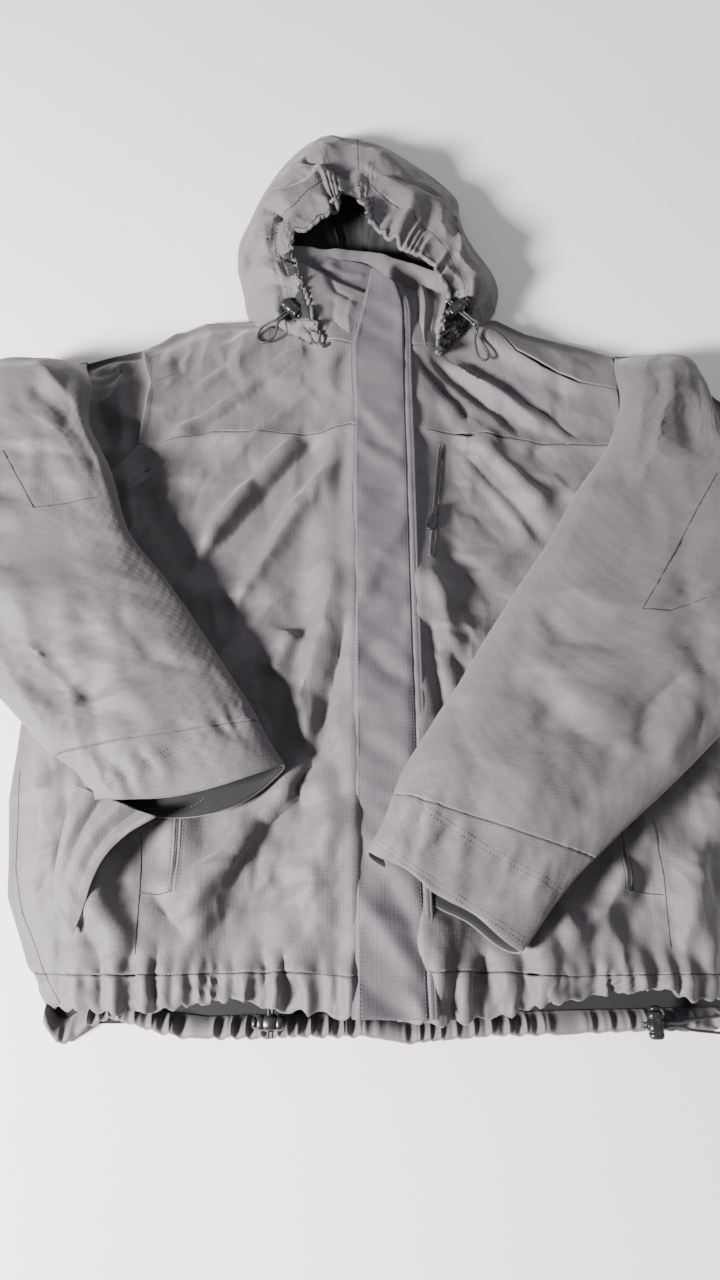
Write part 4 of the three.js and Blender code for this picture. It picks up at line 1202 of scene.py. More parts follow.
def flap_mesh():
    ys = np.concatenate([np.arange(-46, 640, 4.4), np.arange(640, 738, 3.2)])
    us = np.array([-0.9, -0.5, -0.12, 0, 0.15, 0.5, 1.2, 2.4, 3.8, 5.2, 6.6, 8, 9.4, 10.6, 11.6, 12.4, 13.0, 13.4, 13.6]) / 13.6
    prof = np.array([-3.2, -3.4, -2.6, -1.4, -0.3, 0.2, 0, 0, 0, 0, 0, 0, 0, 0.0, 0.2, 0.2, -0.1, -1.0, -2.0])
    X = np.zeros((len(ys), len(us), 3))
    left = np.interp(ys, EDGE_L[:, 0], EDGE_L[:, 1])[:, None]
    right = np.interp(ys, EDGE_R[:, 0], EDGE_R[:, 1])[:, None]
    X[..., 0] = left + (right - left) * us[None]
    X[..., 1] = ys[:, None]
    base = 58.0 + np.interp(ys, [560, 690, 740], [0, 5, 10])
    X[..., 2] = base[:, None] + prof[None]
    x, y = X[..., 0], X[..., 1]
    free = np.clip(1 - (x + 6) / 50, 0, 1)
    wob = 2.4 * smooth_noise(x, y, 60, 91, (0.8, 1.6), 0.5) + 1.4 * ridge_noise(x, y, 30, 92, (1, 2.4), 0.65) + 0.9 * smooth_noise(x, y, 13, 93, (2.6, 1), -0.3)
    low = np.clip((90 - y) / 130, 0, 1)
    wob = wob * (0.8 + 1.1 * low)
    wob += fold(x, y, [(-2, 560), (20, 520), (48, 505)], -3, 9) + fold(x, y, [(48, 420), (22, 392), (0, 340)], 3, 10)
    wob += fold(x, y, [(2, 300), (26, 268), (50, 258)], -3, 8) + fold(x, y, [(0, 60), (28, 20), (56, -24)], 3.5, 9) - fold(x, y, [(20, 76), (44, 34), (58, 2)], 3, 7)
    wob += 3.2 * facet(x, y, 34, 97, (1.9, 0.8), 0.7) + 1.5 * facet(x, y, 17, 98, (2.2, 0.7), -0.5)
    X[..., 2] += wob * np.clip((x + 8) / 10, 0.3, 1) * np.clip((right - x) / 10, 0.15, 1)
    X[..., 2] += 1.2 * free * smooth_noise(x * 0, y, 80, 96)
    X[..., 0] += 1.6 * smooth_noise(x * 0, y, 70, 94) * free ** 2
    return X


FL = flap_mesh()
# painted shade: the flap takes the darker copy of the shell
flap = cloth_object("storm_flap", FL, material_coords(FL), [SHELL_PAINTED_SHADE, LINING], 1.5, subdiv=1)
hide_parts("storm_flap_upper", "storm_flap_lower")
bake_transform(flap)

# the placket that the flap is sewn to
ys = np.arange(-46, 716, 3.6)
xs = np.array([-1.6, -0.6, 0.3, 1.2, 2.8, 4.6, 5.4, 6.4, 7.6, 8.2, 9.4])
pr = np.array([-4.5, -1.8, -0.7, 0.2, 0.5, 0.2, -0.4, 0.1, -0.2, -1.2, -5.5])
PL = np.zeros((len(ys), len(xs), 3))
right = np.interp(ys, EDGE_R[:, 0], EDGE_R[:, 1])
PL[..., 0] = right[:, None] + xs[None]
PL[..., 1] = ys[:, None]
PL[..., 2] = 58.2 + pr[None] + np.interp(ys, [640, 706], [0, 3])[:, None]
PL[..., 2] += 0.7 * smooth_noise(PL[..., 0], PL[..., 1], 16, 95, (3, 0.8)) + 0.5 * ridge_noise(PL[..., 0], PL[..., 1], 14, 97, (3, 1), 0.4)
PL[..., 2] -= np.clip((PL[..., 1] - 690) / 26, 0, 1) ** 2 * 8
# painted shade: the placket takes the darker copy of the shell
placket = cloth_object("flap_placket", PL, material_coords(PL), [SHELL_PAINTED_SHADE, LINING], 1.0, subdiv=1)
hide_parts("flap_binding")
lift(placket, "body")


# ------------------------------------------------------------------ collar
def collar_piece(name, left, right, rows, cols, height, nodes, sides="", mats=None, thick=1.6, move=None):
    X = strip(left, right, rows, cols, height)
    if move is not None:
        move(X)
    return panel(name, X, material_coords(X), sides, nodes, mats=mats, thick=thick)


def collar_r_height(x, y, v, t):
    z = 47 + 14 * np.sin(np.pi / 2 * np.clip(v * 1.3, 0, 1)) - 5 * t * v
    z = z + fold(x, y, [(-34, 655), (-50, 690), (-62, 725)], 2.5, 6) - fold(x, y, [(-22, 648), (-30, 680), (-26, 706)], 4, 6, 0.3)
    z = z + fold(x, y, [(-10, 648), (-14, 676), (-8, 700)], 3.5, 6) + fold(x, y, [(-40, 740), (-26, 712), (-6, 700)], -4, 5)
    return z + 2.0 * smooth_noise(x, y, 22, 101) - 3.0 * np.clip((v - 0.93) / 0.07, 0, 1) ** 2


def roll_top(X):
    """Shifts the rows a little along y with noise, more towards the top row."""
    v = np.linspace(0, 1, X.shape[0])
    X[..., 1] += 1.5 * smooth_noise(X[..., 0], X[..., 1] * 0, 16, 108) * v[:, None]


collar_piece("collar_shell_r", [(-37, 648), (-52, 682), (-64, 714), (-76, 752)], [(-3, 640), (2, 664), (8, 690), (10, 712)], 36, 34,
             collar_r_height, ["collar_front_r"], "b", move=roll_top)
# facing behind its top edge, in the darker copy of the shell as painted shade
collar_piece("collar_facing_r", [(-72, 738), (-74, 760), (-64, 772)], [(10, 700), (16, 730), (14, 752)], 26, 34,
             lambda x, y, v, t: 43 + 4 * v + 3 * np.sin(np.pi * v) + 2.4 * smooth_noise(x, y, 18, 106) + 3 * fold(x, y, [(-44, 752), (-20, 742), (10, 738)], 1, 6),
             [], "", mats=[SHELL_PAINTED_SHADE, LINING])


def collar_l_height(x, y, v, t):
    z = 46 + 8 * np.sin(np.pi / 2 * np.clip(v * 2.2, 0, 1)) - 13 * np.clip((v - 0.55) / 0.45, 0, 1) ** 1.4
    pleat = np.sin(t * 12.5 + 0.9 + 0.8 * v) + 0.5 * np.sin(t * 24 + 2)
    return z + 4.2 * pleat * np.clip(1.1 - 0.5 * v, 0, 1) + 1.8 * smooth_noise(x, y, 14, 103)


collar_piece("collar_shell_l", [(52, 638), (51, 668), (48, 700), (40, 734)], [(89, 636), (88, 660), (95, 696), (99, 728)], 40, 36,
             collar_l_height, ["collar_front_l"], "b")
# the back of the collar, seen from its inside
collar_piece("collar_inner_back", [(-78, 716), (-86, 746), (-80, 778)], [(116, 690), (112, 716), (94, 738)], 34, 60,
             lambda x, y, v, t: 18 + 31 * np.sin(np.pi / 2 * v) + 6 * (2 * t - 1) ** 2 * (1 - 0.4 * v) + 2.2 * smooth_noise(x, y, 30, 104)
             + 1.2 * smooth_noise(x, y, 13, 105, (1, 2)) - 5 * np.clip((v - 0.93) / 0.07, 0, 1) ** 2, ["collar_back"], "", mats=[SHELL, LINING],
             move=lambda X: X.__setitem__((Ellipsis, 1), X[..., 1] + 17 * np.sin(np.pi * np.linspace(0, 1, X.shape[1]))[None] * np.linspace(0, 1, X.shape[0])[:, None]))

# ------------------------------------------------------------------ hood
NT, NR = 261, 44
tt = np.linspace(0, 1, NT)
OUT = [(-70, 655), (-91, 676), (-121, 698), (-138, 752), (-145, 788), (-144, 822), (-134, 853), (-119, 894), (-97, 936), (-62, 975),
       (-20, 981), (19, 975), (61, 946), (103, 908), (118, 888), (121, 861), (130, 827), (144, 802), (156, 778), (163, 749), (160, 732),
       (151, 711), (137, 690), (121, 672), (108, 660)]
INN = [(-38, 642), (-52, 671), (-64, 707), (-73, 734), (-78, 756), (-77, 774), (-74, 787), (-64, 786), (-46, 798), (-31, 808),
       (-27, 824), (-22, 836), (-8, 837), (4, 825), (9, 811), (12, 799), (24, 789), (38, 777), (52, 765), (67, 753), (81, 740),
       (91, 723), (99, 707), (100, 690), (93, 674), (89, 654), (87, 628)]
outer, inner = spline(OUT, tt), spline(INN, tt)
rr = np.linspace(0, 1, NR)
HX = np.zeros((NR, NT, 3))
g = rr[:, None, None] ** 0.95
HX[..., :2] = outer[None] * (1 - g) + inner[None] * g
low_end = np.clip(np.minimum(tt, 1 - tt) / 0.12, 0, 1)
low_end = low_end ** 2 * (3 - 2 * low_end)
base_z = lookup(BODY_MAP, outer[:, 0], outer[:, 1]) * (1 - low_end)
rise = np.sin(np.pi / 2 * np.clip(rr[:, None] / 0.62, 0, 1)) ** 0.9
topz = 50 + 13 * low_end
HX[..., 2] = (4 + base_z)[None] * (1 - rise) + topz[None] * rise + 5 * rr[:, None] ** 3
hx, hy = HX[..., 0], HX[..., 1]
arc = np.concatenate([[0], np.cumsum(np.linalg.norm(np.diff(inner, axis=0), axis=1))])
gat = np.interp(tt, [0, 0.03, 0.1, 0.16, 0.22, 0.27, 0.3, 0.36, 0.4, 0.5, 0.75, 0.86, 0.9, 1], [1, 1, 0.7, 0.5, 0.9, 0.5, 0.12, 0.2, 1, 1.1, 1, 0.6, 1, 1])
near_brim = np.exp(-((1 - rr[:, None]) * 60 / 17) ** 1.2)
phase = arc / 12.0 * 2 * np.pi + 5.0 * smooth_noise(arc, arc * 0, 26, 111)
amp = 4.6 * (0.65 + 0.5 * smooth_noise(arc, arc * 0, 30, 112)) * gat
ruff = np.sin(phase) + 0.2 * np.sin(1.7 * phase + 1)
HX[..., 2] += near_brim * (amp * ruff)[None]
tang = np.gradient(inner, axis=0)
tang /= np.linalg.norm(tang, axis=1, keepdims=True)
nrm2 = np.stack([-tang[:, 1], tang[:, 0]], -1)
HX[..., :2] += (near_brim ** 2 * (1.5 * gat * np.sin(phase * 1.1 + 1.2))[None])[..., None] * nrm2[None]
rim = np.clip(rr[:, None] / 0.22, 0, 1)
HX[..., 2] += rim * (5.0 * smooth_noise(hx, hy, 46, 113, (1, 1.5), 0.7) + 4.2 * ridge_noise(hx, hy, 40, 114, (1, 2.0), -0.5)
                     + 1.8 * ridge_noise(hx, hy, 18, 115, (1, 1.6), 0.9))
HX[..., 2] += rim * (fold(hx, hy, [(-66, 940), (-62, 896), (-38, 878), (-9, 852)], -9, 7, 0.4)
                     + fold(hx, hy, [(-82, 920), (-80, 890), (-50, 868), (-24, 848)], 7, 9, 0.3)
                     - fold(hx, hy, [(-120, 878), (-88, 851), (-76, 855), (-47, 884)], 9, 7, 0.3)
                     + fold(hx, hy, [(-116, 860), (-92, 836), (-64, 842), (-44, 868)], 6, 9)
                     - fold(hx, hy, [(-146, 815), (-134, 790), (-120, 766)], 9, 8, 0.3)
                     + fold(hx, hy, [(-128, 812), (-112, 790), (-104, 762)], 7, 9)
                     - fold(hx, hy, [(-112, 830), (-92, 812), (-80, 796)], 7, 6)
                     + fold(hx, hy, [(-138, 750), (-110, 745), (-84, 742)], 6, 9) - fold(hx, hy, [(-132, 728), (-104, 722), (-76, 716)], 7, 7)
                     + fold(hx, hy, [(0, 866), (41, 868), (88, 847), (114, 860)], -5, 7, 0.4)
                     + fold(hx, hy, [(118, 884), (113, 823), (115, 773), (110, 739)], 9, 8, 0.5)
                     - fold(hx, hy, [(128, 840), (127, 800), (130, 760)], 9, 10, 0.3)
                     + fold(hx, hy, [(98, 830), (92, 800), (96, 772)], 5, 7) - fold(hx, hy, [(84, 840), (78, 806), (72, 784)], 6, 7)
                     + fold(hx, hy, [(150, 770), (136, 736), (120, 712)], 6, 9) - fold(hx, hy, [(158, 742), (140, 712), (116, 690)], 6, 7))
for lx, ly in ((-76, 690), (108, 690)):
    near = np.exp(-((hx - lx) ** 2 + (hy - ly) ** 2) / 17 ** 2)
    HX[..., 2] = HX[..., 2] * (1 - near) + np.minimum(HX[..., 2], 43) * near
pin = np.zeros(HX.shape[:2], bool)
pin[0] = True
L = edges_of(HX, False)
sp = 1.01 + 0.1 * near_brim * gat[None] + np.zeros((NR, NT))
L["h"] = L["h"] * (sp[:, 1:] + sp[:, :-1]) / 2
L["h2"] = L["h2"] * (sp[:, 2:] + sp[:, :-2]) / 2
for key in ("v", "v2"):
    L[key] = L[key] * 1.015
hold = np.full((NR, NT), 0.03)
hold[-1] = 0.2
HX = relax(HX, L, 70, pin, lambda a, b: np.full(a.shape, 3.0), gravity=0.02, keep=0.02, hold=hold, bend=0.35, stiff=1)
HU = material_coords(HX)
seam_t = int(np.argmin(np.abs(np.arange(NT) - np.argmin(np.hypot(inner[:, 0] + 1, inner[:, 1] - 832)))))
brim_r = 31


def hood_piece(name, r0, r1, t0, t1, sides, nodes, mats=None, roll=""):
    X, U = HX[r0:r1 + 1, t0:t1 + 1], HU[r0:r1 + 1, t0:t1 + 1]
    Y, V = finer(X), finer(U)
    Y = creased(crumpled(Y, False, 1.4), False, 0.42, (6.0, 44), np.clip(np.minimum(np.arange(Y.shape[0]), np.arange(Y.shape[0])[::-1]) / 8, 0.2, 1)[:, None])
    Y, V = hemmed(Y, V, sides)
    if roll:
        Y, V = rolled(Y, V, roll, 2.6)
    ob = cloth_object(name, Y, V, mats or [SHELL, LINING], 1.4)
    if nodes:
        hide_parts(*nodes)
    bend_hood(ob)
    return ob


def bend_hood(ob):
    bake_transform(ob)


# rows run from the outer edge inwards, so the grid is turned to face up
HX, HU = HX[:, ::-1], HU[:, ::-1]
seam_t = NT - 1 - seam_t
hood_piece("hood_shell_l", 0, brim_r, 0, seam_t, "tr", ["hood_side_l", "hood_cheek_l"])
hood_piece("hood_shell_r", 0, brim_r, seam_t, NT - 1, "tl", ["hood_side_r"])
hood_piece("hood_brim_shell", brim_r, NR - 1, 0, NT - 1, "b", ["hood_brim"], roll="t")

# inside of the hood: turned-in hem, then black lining down to the back
NI = 26
q = np.linspace(0, 1, NI)
edge_in = HX[-1]
centre = np.array([6.0, 762.0])
IX = np.zeros((NI, NT, 3))
out_dir = (np.stack([outer[::-1, 0], outer[::-1, 1]], -1) - edge_in[:, :2])
out_dir = out_dir / np.linalg.norm(out_dir, axis=1, keepdims=True)
for i, s in enumerate(q):
    bulge = 22 * np.sin(np.pi * np.clip(s / 0.55, 0, 1)) if s < 0.55 else 0
    pull_in = np.clip((s - 0.45) / 0.55, 0, 1) ** 1.2
    p = edge_in[:, :2] + out_dir * bulge
    IX[i, :, :2] = p * (1 - pull_in) + (centre + (p - centre) * np.array([0.5, 0.1])) * pull_in
    IX[i, :, 2] = edge_in[:, 2] * (1 - s) ** 1.4 + 9 * (1 - (1 - s) ** 1.4) - 1.2 * np.sin(np.pi * s)
IX[..., 2] += np.sin(np.pi * q)[:, None] * 2.0 * smooth_noise(IX[..., 0], IX[..., 1], 18, 121)
IX[..., 2] = np.maximum(IX[..., 2], 7)
inn = cloth_object("hood_lining", IX, material_coords(IX), [LINING, LINING], 0.8)
bend_hood(inn)

# back of the hood, on the surface
BT = np.linspace(0, 1, 22)
HB = np.zeros((22, NT, 3))
oc = np.stack([outer[::-1, 0], outer[::-1, 1]], -1)
mid_line = np.stack([oc[:, 0] * 0.15 + 2, np.clip(oc[:, 1], 700, 900) * 0.6 + 310], -1)
for i, s in enumerate(BT):
    HB[i, :, :2] = oc * (1 - s) + mid_line * s
    HB[i, :, 2] = 2.2 + 0.8 * np.sin(np.pi * s)
HB[0, :, 2] = HX[0, :, 2]
hb = cloth_object("hood_back_shell", HB, material_coords(HB), [SHELL, LINING], 0.8, offset=1.0)
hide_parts("hood_back")
bend_hood(hb)

# ------------------------------------------------------------------ back panel and its gathered hem
ys = np.linspace(-52, 690, 111)
BX = np.zeros((len(ys), 121, 3))
for i, y in enumerate(ys):
    a = xL(y) if y < 440 else np.interp(y, [440, 600, 648, 672, 690], [-300, -300, -290, -240, -205])
    b = xR(y) if y < 440 else np.interp(y, [440, 600, 648, 672, 690], [338, 338, 330, 225, 180])
    BX[i, :, 0] = np.linspace(a + 1.5, b - 1.5, 121)
    BX[i, :, 1] = y
BX[..., 2] = 3.2 + 0.6 * smooth_noise(BX[..., 0], BX[..., 1], 40, 131)
bk = cloth_object("back_shell", BX, material_coords(BX), [LINING, SHELL], 1.6)
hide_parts("back_panel", "lining_body")
lift(bk, "body")

HEMB = np.array([(-288, -52), (-276, -66), (-266, -66), (-248, -54), (-228, -46), (-205, -52), (-180, -60), (-138, -64), (0, -61), (42, -68),
                 (83, -64), (146, -60), (229, -58), (338, -56)], float)
xs = np.linspace(-288, 337, 521)
prof = [(19, 3.4, 0), (16, 7, 0.3), (13.5, 10.5, 0.6), (9, 14, 0.95), (3, 15, 1), (-0.2, 13, 1), (-1.6, 9, 0.9), (-0.6, 4.5, 0.5), (5, 1.6, 0.1)]
GB = np.zeros((len(prof), len(xs), 3))
edge_y = np.interp(xs, HEMB[:, 0], HEMB[:, 1])
ph = xs / 17 * 2 * np.pi + 8 * smooth_noise(xs, xs * 0, 42, 141)
wave = np.sin(ph) + 0.45 * np.sin(ph * 2.1 + 1) + 0.9 * smooth_noise(xs, xs * 0, 30, 142)
quiet = 0.45 + 0.55 * np.clip(smooth_noise(xs, xs * 0, 70, 143) + 0.6, 0, 1)
for i, (dy, z, k) in enumerate(prof):
    GB[i, :, 0] = xs + k * 1.4 * np.cos(ph) * quiet
    GB[i, :, 1] = edge_y + dy + k * 1.8 * wave * quiet
    GB[i, :, 2] = np.maximum(z + k * 3.6 * wave * quiet, 1.3)
GB = GB[::-1]
gb = cloth_object("back_hem_gathers", GB, material_coords(GB), [SHELL, LINING], 1.0, subdiv=1)
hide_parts("hem_band_back")
lift(gb, "body")

# ------------------------------------------------------------------ finding the surface
class Host:
    """Finds the upper surface of some pieces, to lay seams and stitches on it."""

    def __init__(self, *objs):
        vs, fs, n = [], [], 0
        for o in objs:
            vs += [tuple(v.co) for v in o.data.vertices]
            fs += [tuple(n + i for i in p.vertices) for p in o.data.polygons]
            n = len(vs)
        self.tree = BVHTree.FromPolygons(vs, fs)

    def at(self, x, y, top=130.0):
        p = R((x, y, top))
        hit, nrm, _, _ = self.tree.ray_cast(Vector(p), Vector((0, 0, -1)))
        if hit is None:
            return None, None
        if nrm.z < 0:
            nrm = -nrm
        return np.array(hit), np.array(nrm)


def walk(pts, step):
    pts = np.asarray(pts, float)
    total = np.linalg.norm(np.diff(pts, axis=0), axis=1).sum()
    n = max(2, int(total / step))
    return polyline(pts, np.linspace(0, 1, n + 1))


def dense_curve(pts, n=60):
    return spline(np.asarray(pts, float), np.linspace(0, 1, n))


def shifted(pts, d):
    """The line moved sideways by d millimetres, to its left."""
    pts = np.asarray(pts, float)
    t = np.gradient(pts, axis=0)
    t /= np.linalg.norm(t, axis=1, keepdims=True) + 1e-9
    return pts + np.stack([-t[:, 1], t[:, 0]], -1) * d


def stitches(name, host, lines, pitch=3.3, length=2.3, width=0.55, high=0.3, mat=None):
    """Rows of stitches laid on a surface, as one mesh."""
    vs, fs = [], []
    for line in lines:
        dots = walk(line, pitch)
        for a, b in zip(dots[:-1], dots[1:]):
            k = length / (np.linalg.norm(b - a) + 1e-9)
            m = (a + b) / 2
            p, n = host.at(*(m - (b - a) * k / 2))
            q, n2 = host.at(*(m + (b - a) * k / 2))
            if p is None or q is None or abs(p[2] - q[2]) > 0.0022 or n[2] < 0.25:
                continue
            d = q - p
            side = np.cross(n, d)
            side /= np.linalg.norm(side) + 1e-9
            w, h = side * width * 0.0005, n * high * 0.001
            dn = d * 0.14
            base = len(vs)
            vs += [p - w - h, p + w - h, p + dn + w + h, p + dn - w + h, q - dn - w + h, q - dn + w + h, q + w - h, q - w - h]
            fs += [(0, 1, 2, 3), (3, 2, 5, 4), (4, 5, 6, 7), (0, 3, 4, 7), (1, 6, 5, 2)]
            fs[-5:] = [tuple(base + i for i in f) for f in fs[-5:]]
    me = bpy.data.meshes.new(name)
    me.from_pydata([tuple(v) for v in vs], [], fs)
    me.update()
    me.polygons.foreach_set("use_smooth", [True] * len(me.polygons))
    me.materials.append(mat or THREAD)
    layer = me.uv_layers.new(name="weave")
    ob = bpy.data.objects.new(name, me)
    bpy.context.scene.collection.objects.link(ob)
    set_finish(ob, "trim")
    return ob


def seam_shadow_lines(name, host, lines, width=1.0, lift_mm=0.6):
    """Narrow dark lines of painted shadow where two layers meet."""
    vs, fs = [], []
    for line in lines:
        dots = walk(line, 2.5)
        prev = None
        t = np.gradient(dots, axis=0)
        for a, d in zip(dots, t):
            d = d / (np.linalg.norm(d) + 1e-9)
            s = np.array([-d[1], d[0]]) * width / 2
            p, n = host.at(*(a - s))
            q, n2 = host.at(*(a + s))
            m, n3 = host.at(*a)
            if p is None or q is None or m is None:
                prev = None
                continue
            up = n3 * lift_mm * 0.001
            k = len(vs)
            vs += [p + up * 0.1, m + up, q + up * 0.1]
            if prev is not None and abs(vs[prev + 1][2] - vs[k + 1][2]) < 0.004:
                fs += [(prev, prev + 1, k + 1, k), (prev + 1, prev + 2, k + 2, k + 1)]
            prev = k
    me = bpy.data.meshes.new(name)
    me.from_pydata([tuple(v) for v in vs], [], fs)
    me.update()
    me.polygons.foreach_set("use_smooth", [True] * len(me.polygons))
    me.materials.append(SEAM_SHADOW)
    me.uv_layers.new(name="weave")
    ob = bpy.data.objects.new(name, me)
    bpy.context.scene.collection.objects.link(ob)
    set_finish(ob, "trim")
    return ob


O = bpy.data.objects
front_host = Host(*[O[n] for n in ("front_hem_r", "front_hem_l", "front_body_r", "front_body_l", "front_yoke_r", "front_yoke_l",
                                   "front_shoulder_r", "front_shoulder_l", "sleeve_head_shell_r", "sleeve_head_shell_l")])
flap_host = Host(flap)
placket_host = Host(placket)
cuff_hosts = {s: Host(O["cuff_shell_" + s], O["sleeve_shell_" + s]) for s in "rl"}
hood_host = Host(O["hood_shell_l"], O["hood_shell_r"], O["hood_brim_shell"])
collar_host = Host(O["collar_shell_r"], O["collar_shell_l"])

# ------------------------------------------------------------------ seams and stitching
case_line = [(x, y) for x, y in zip(case_row[:, 0], case_row[:, 1])]
left_part = lambda pts, a=-1e9, b=-9: [p for p in pts if a < p[0] < b]
right_part = lambda pts, a=60, b=1e9: [p for p in pts if a < p[0] < b]
yoke_pts = YOKE[(YOKE[:, 0] > -236)]
lines = [left_part(case_line), right_part(case_line), shifted(left_part(yoke_pts), 2.2), shifted(right_part(yoke_pts, 64), 2.2)]
sh_l = [(-229, 599), (-176, 632), (-123, 669), (-105, 677)]
sh_r = [(146, 674), (158, 660), (172, 640), (202, 619), (238, 599), (280, 590)]
lines += [shifted(sh_l, 2.2), shifted(sh_r, 2.2)]
armr = [(xL(y) + 2.6, y) for y in np.linspace(524, 660, 30)]
arml = [(xR(y) - 2.6, y) for y in np.linspace(548, 655, 30)]
lines += [armr, arml]
chest = np.array([(87, 526), (73, 392)], float)
around = lambda pts, d: [shifted(pts, d), shifted(pts, -d)]
lines += around(chest, 5.0)
zr = np.array([(-171.6, 63), (-168.4, 227)], float)
zl = np.array([(246.6, 63), (243.4, 227)], float)
lines += around(zr, 5.2) + around(zl, 5.2)
st_front = stitches("stitches_front", front_host, lines)
lift(st_front, "body")
# painted shadow: dark strips along the pocket edges, side seams, yoke and hem casing
sm = seam_shadow_lines("seam_shadows_front", front_host, [
    [(-205, 116), (-203, 80), (-201, 8)], [(-319, 47), (-296, 6), (-272, -34)], [(-336, 180), (-330, 90), (-318, 44)],
    [(274, 127), (281, 77), (281, 14)], [(246, 64), (262, 62), (279, 60)], [(-201, 62), (-186, 60), (-171, 63)],
    shifted(left_part(yoke_pts), 0.4), shifted(right_part(yoke_pts, 62), 0.4), left_part(case_line), right_part(case_line)], 0.9)
lift(sm, "body")

left_edge = np.array([(x + 2.6, y) for y, x in EDGE_L[:-1]])
right_edge = np.array([(x - 2.4, y) for y, x in EDGE_R[:8]])
st_flap = stitches("stitches_flap", flap_host, [left_edge, right_edge])
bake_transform(st_flap)
st_placket = stitches("stitches_placket", placket_host, [np.array([(x + 5.9, y) for y, x in EDGE_R[:8]])])
lift(st_placket, "body")

for s, seam in (("r", CUFF_SEAM_R), ("l", CUFF_SEAM_L)):
    rows_ = [shifted(dense_curve(seam), 2.4), shifted(dense_curve(seam), -2.4)]
    if s == "l":
        hem_line = [(10, 102), (52, 72), (99, 42), (140, 16)]
        rows_ += [shifted(hem_line, 1.0), shifted(hem_line, 5.5)]
    else:
        hem_line = [(-214, 132), (-190, 134), (-165, 133), (-126, 158), (-96, 176), (-78, 178)]
        rows_ += [shifted(dense_curve(hem_line), 3.0)]
    ob = stitches("stitches_cuff_" + s, cuff_hosts[s], rows_)
    bend_sleeve(ob, s)
    extra = [[(357, 465), (332, 425), (310, 387), (284, 345), (266, 317)], [(266, 317), (292, 316), (330, 330)]] if s == "l" else \
        [[(-362, 493), (-348, 470), (-336, 451), (-321, 425)], [(-321, 425), (-290, 432), (-262, 440)]]
    # painted shadow: dark strips along the seams of the sleeves
    ob = seam_shadow_lines("seam_shadows_sleeve_" + s, cuff_hosts[s], extra, 0.9)
    bend_sleeve(ob, s)

brim_edge = HX[brim_r, :, :2]
ob = stitches("stitches_hood", hood_host, [shifted(brim_edge, 2.2)[6:-6], [(2, 838), (3, 880), (8, 930), (13, 950)]])
bend_hood(ob)
ob = stitches("stitches_collar", collar_host, [[(-70, 748), (-60, 751), (-46, 743), (-35, 727), (-26, 711), (-8, 702)]])
lift(ob, "body")


# ------------------------------------------------------------------ pocket zips: lips of cloth over a coil
def zip_welts(tag, line, host, nodes):
    line = np.asarray(line, float)
    pts = walk(line, 2.4)
    t = (line[-1] - line[0]) / np.linalg.norm(line[-1] - line[0])
    sd = np.array([-t[1], t[0]])
    offs = {"a": [4.4, 4.0, 3.0, 2.0, 1.2, 0.9, 1.1], "b": [-4.4, -4.0, -3.0, -2.0, -1.2, -0.9, -1.1]}
    zz = [-0.6, 0.25, 0.6, 0.6, 0.1, -0.9, -2.0]
    for k, off in offs.items():
        X = np.zeros((len(pts), len(off), 3))
        for i, p in enumerate(pts):
            end = min(1, i / 3, (len(pts) - 1 - i) / 3)
            for j, (o, z) in enumerate(zip(off, zz)):
                q = p + sd * o * (0.35 + 0.65 * end if abs(o) < 3 else 1)
                hit, n = host.at(*q)
                base = hit[2] * 1000 if hit is not None else 44.0
                X[i, j] = (q[0], q[1], base + z * (0.4 + 0.6 * end) if j else base - 0.9)
        X[..., 2] += 0.25 * smooth_noise(X[..., 0], X[..., 1], 9, 151)
        if grid_normals(X)[len(pts) // 2, 3, 2] < 0:
            X = X[:, ::-1]
        ob = cloth_object("%s_lip_%s" % (tag, k), X, material_coords(X), [SHELL, LINING], 0.5, subdiv=1)
        lift(ob, "body")
    # the coil between the lips, on its tape
    vs, fs = [], []
    zs = []
    for i, p in enumerate(walk(line, 1.5)):
        hit, n = host.at(*p)
        zs.append(hit[2] * 1000 if hit is not None else 44.0)
    zs = np.convolve(np.pad(zs, 4, mode="edge"), np.ones(9) / 9, "valid")
    tv, tf = [], []
    for i, p in enumerate(walk(line, 1.5)):
        z = zs[i] - 0.5
        for o, sgn in ((0.55, 1), (-0.55, -1)):
            c = np.array([*(p + sd * o + t * (0.37 * sgn)), z])
            a, b = np.array([*(sd * 1.0), 0]), np.array([*(t * 0.42), 0])
            base = len(vs)
            vs += [c - a - b, c + a - b, c + a + b, c - a + b]
            up = np.array([0, 0, 0.8])
            vs += [c - a * 0.7 - b * 0.6 + up, c + a * 0.7 - b * 0.6 + up, c + a * 0.7 + b * 0.6 + up, c - a * 0.7 + b * 0.6 + up]
            fs += [tuple(base + q for q in f) for f in ((4, 5, 6, 7), (0, 1, 5, 4), (1, 2, 6, 5), (2, 3, 7, 6), (3, 0, 4, 7))]
        tv += [np.array([*(p + sd * 3.4), z - 0.2]), np.array([*(p - sd * 3.4), z - 0.2])]
        if i:
            k = len(tv)
            tf.append((k - 4, k - 3, k - 1, k - 2))
    coil = add_object(tag + "_coil", np.array(vs), fs, [MATTE], smooth=False)
    coil.data.uv_layers.new(name="weave")
    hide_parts(*nodes)
    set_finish(coil, "zip_plastic")
    lift(coil, "body")
    tape = add_object(tag + "_tape", np.array(tv), tf, [TAPE])
    tape.data.uv_layers.new(name="weave")
    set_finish(tape, "lining")
    m = tape.modifiers.new("thickness", "SOLIDIFY")
    m.thickness = 0.0004
    lift(tape, "body")


zip_welts("chest_zip", chest, front_host, ["chest_zip"])
zip_welts("hand_zip_r", zr, front_host, ["hand_zip_r"])
zip_welts("hand_zip_l", zl, front_host, ["hand_zip_l"])


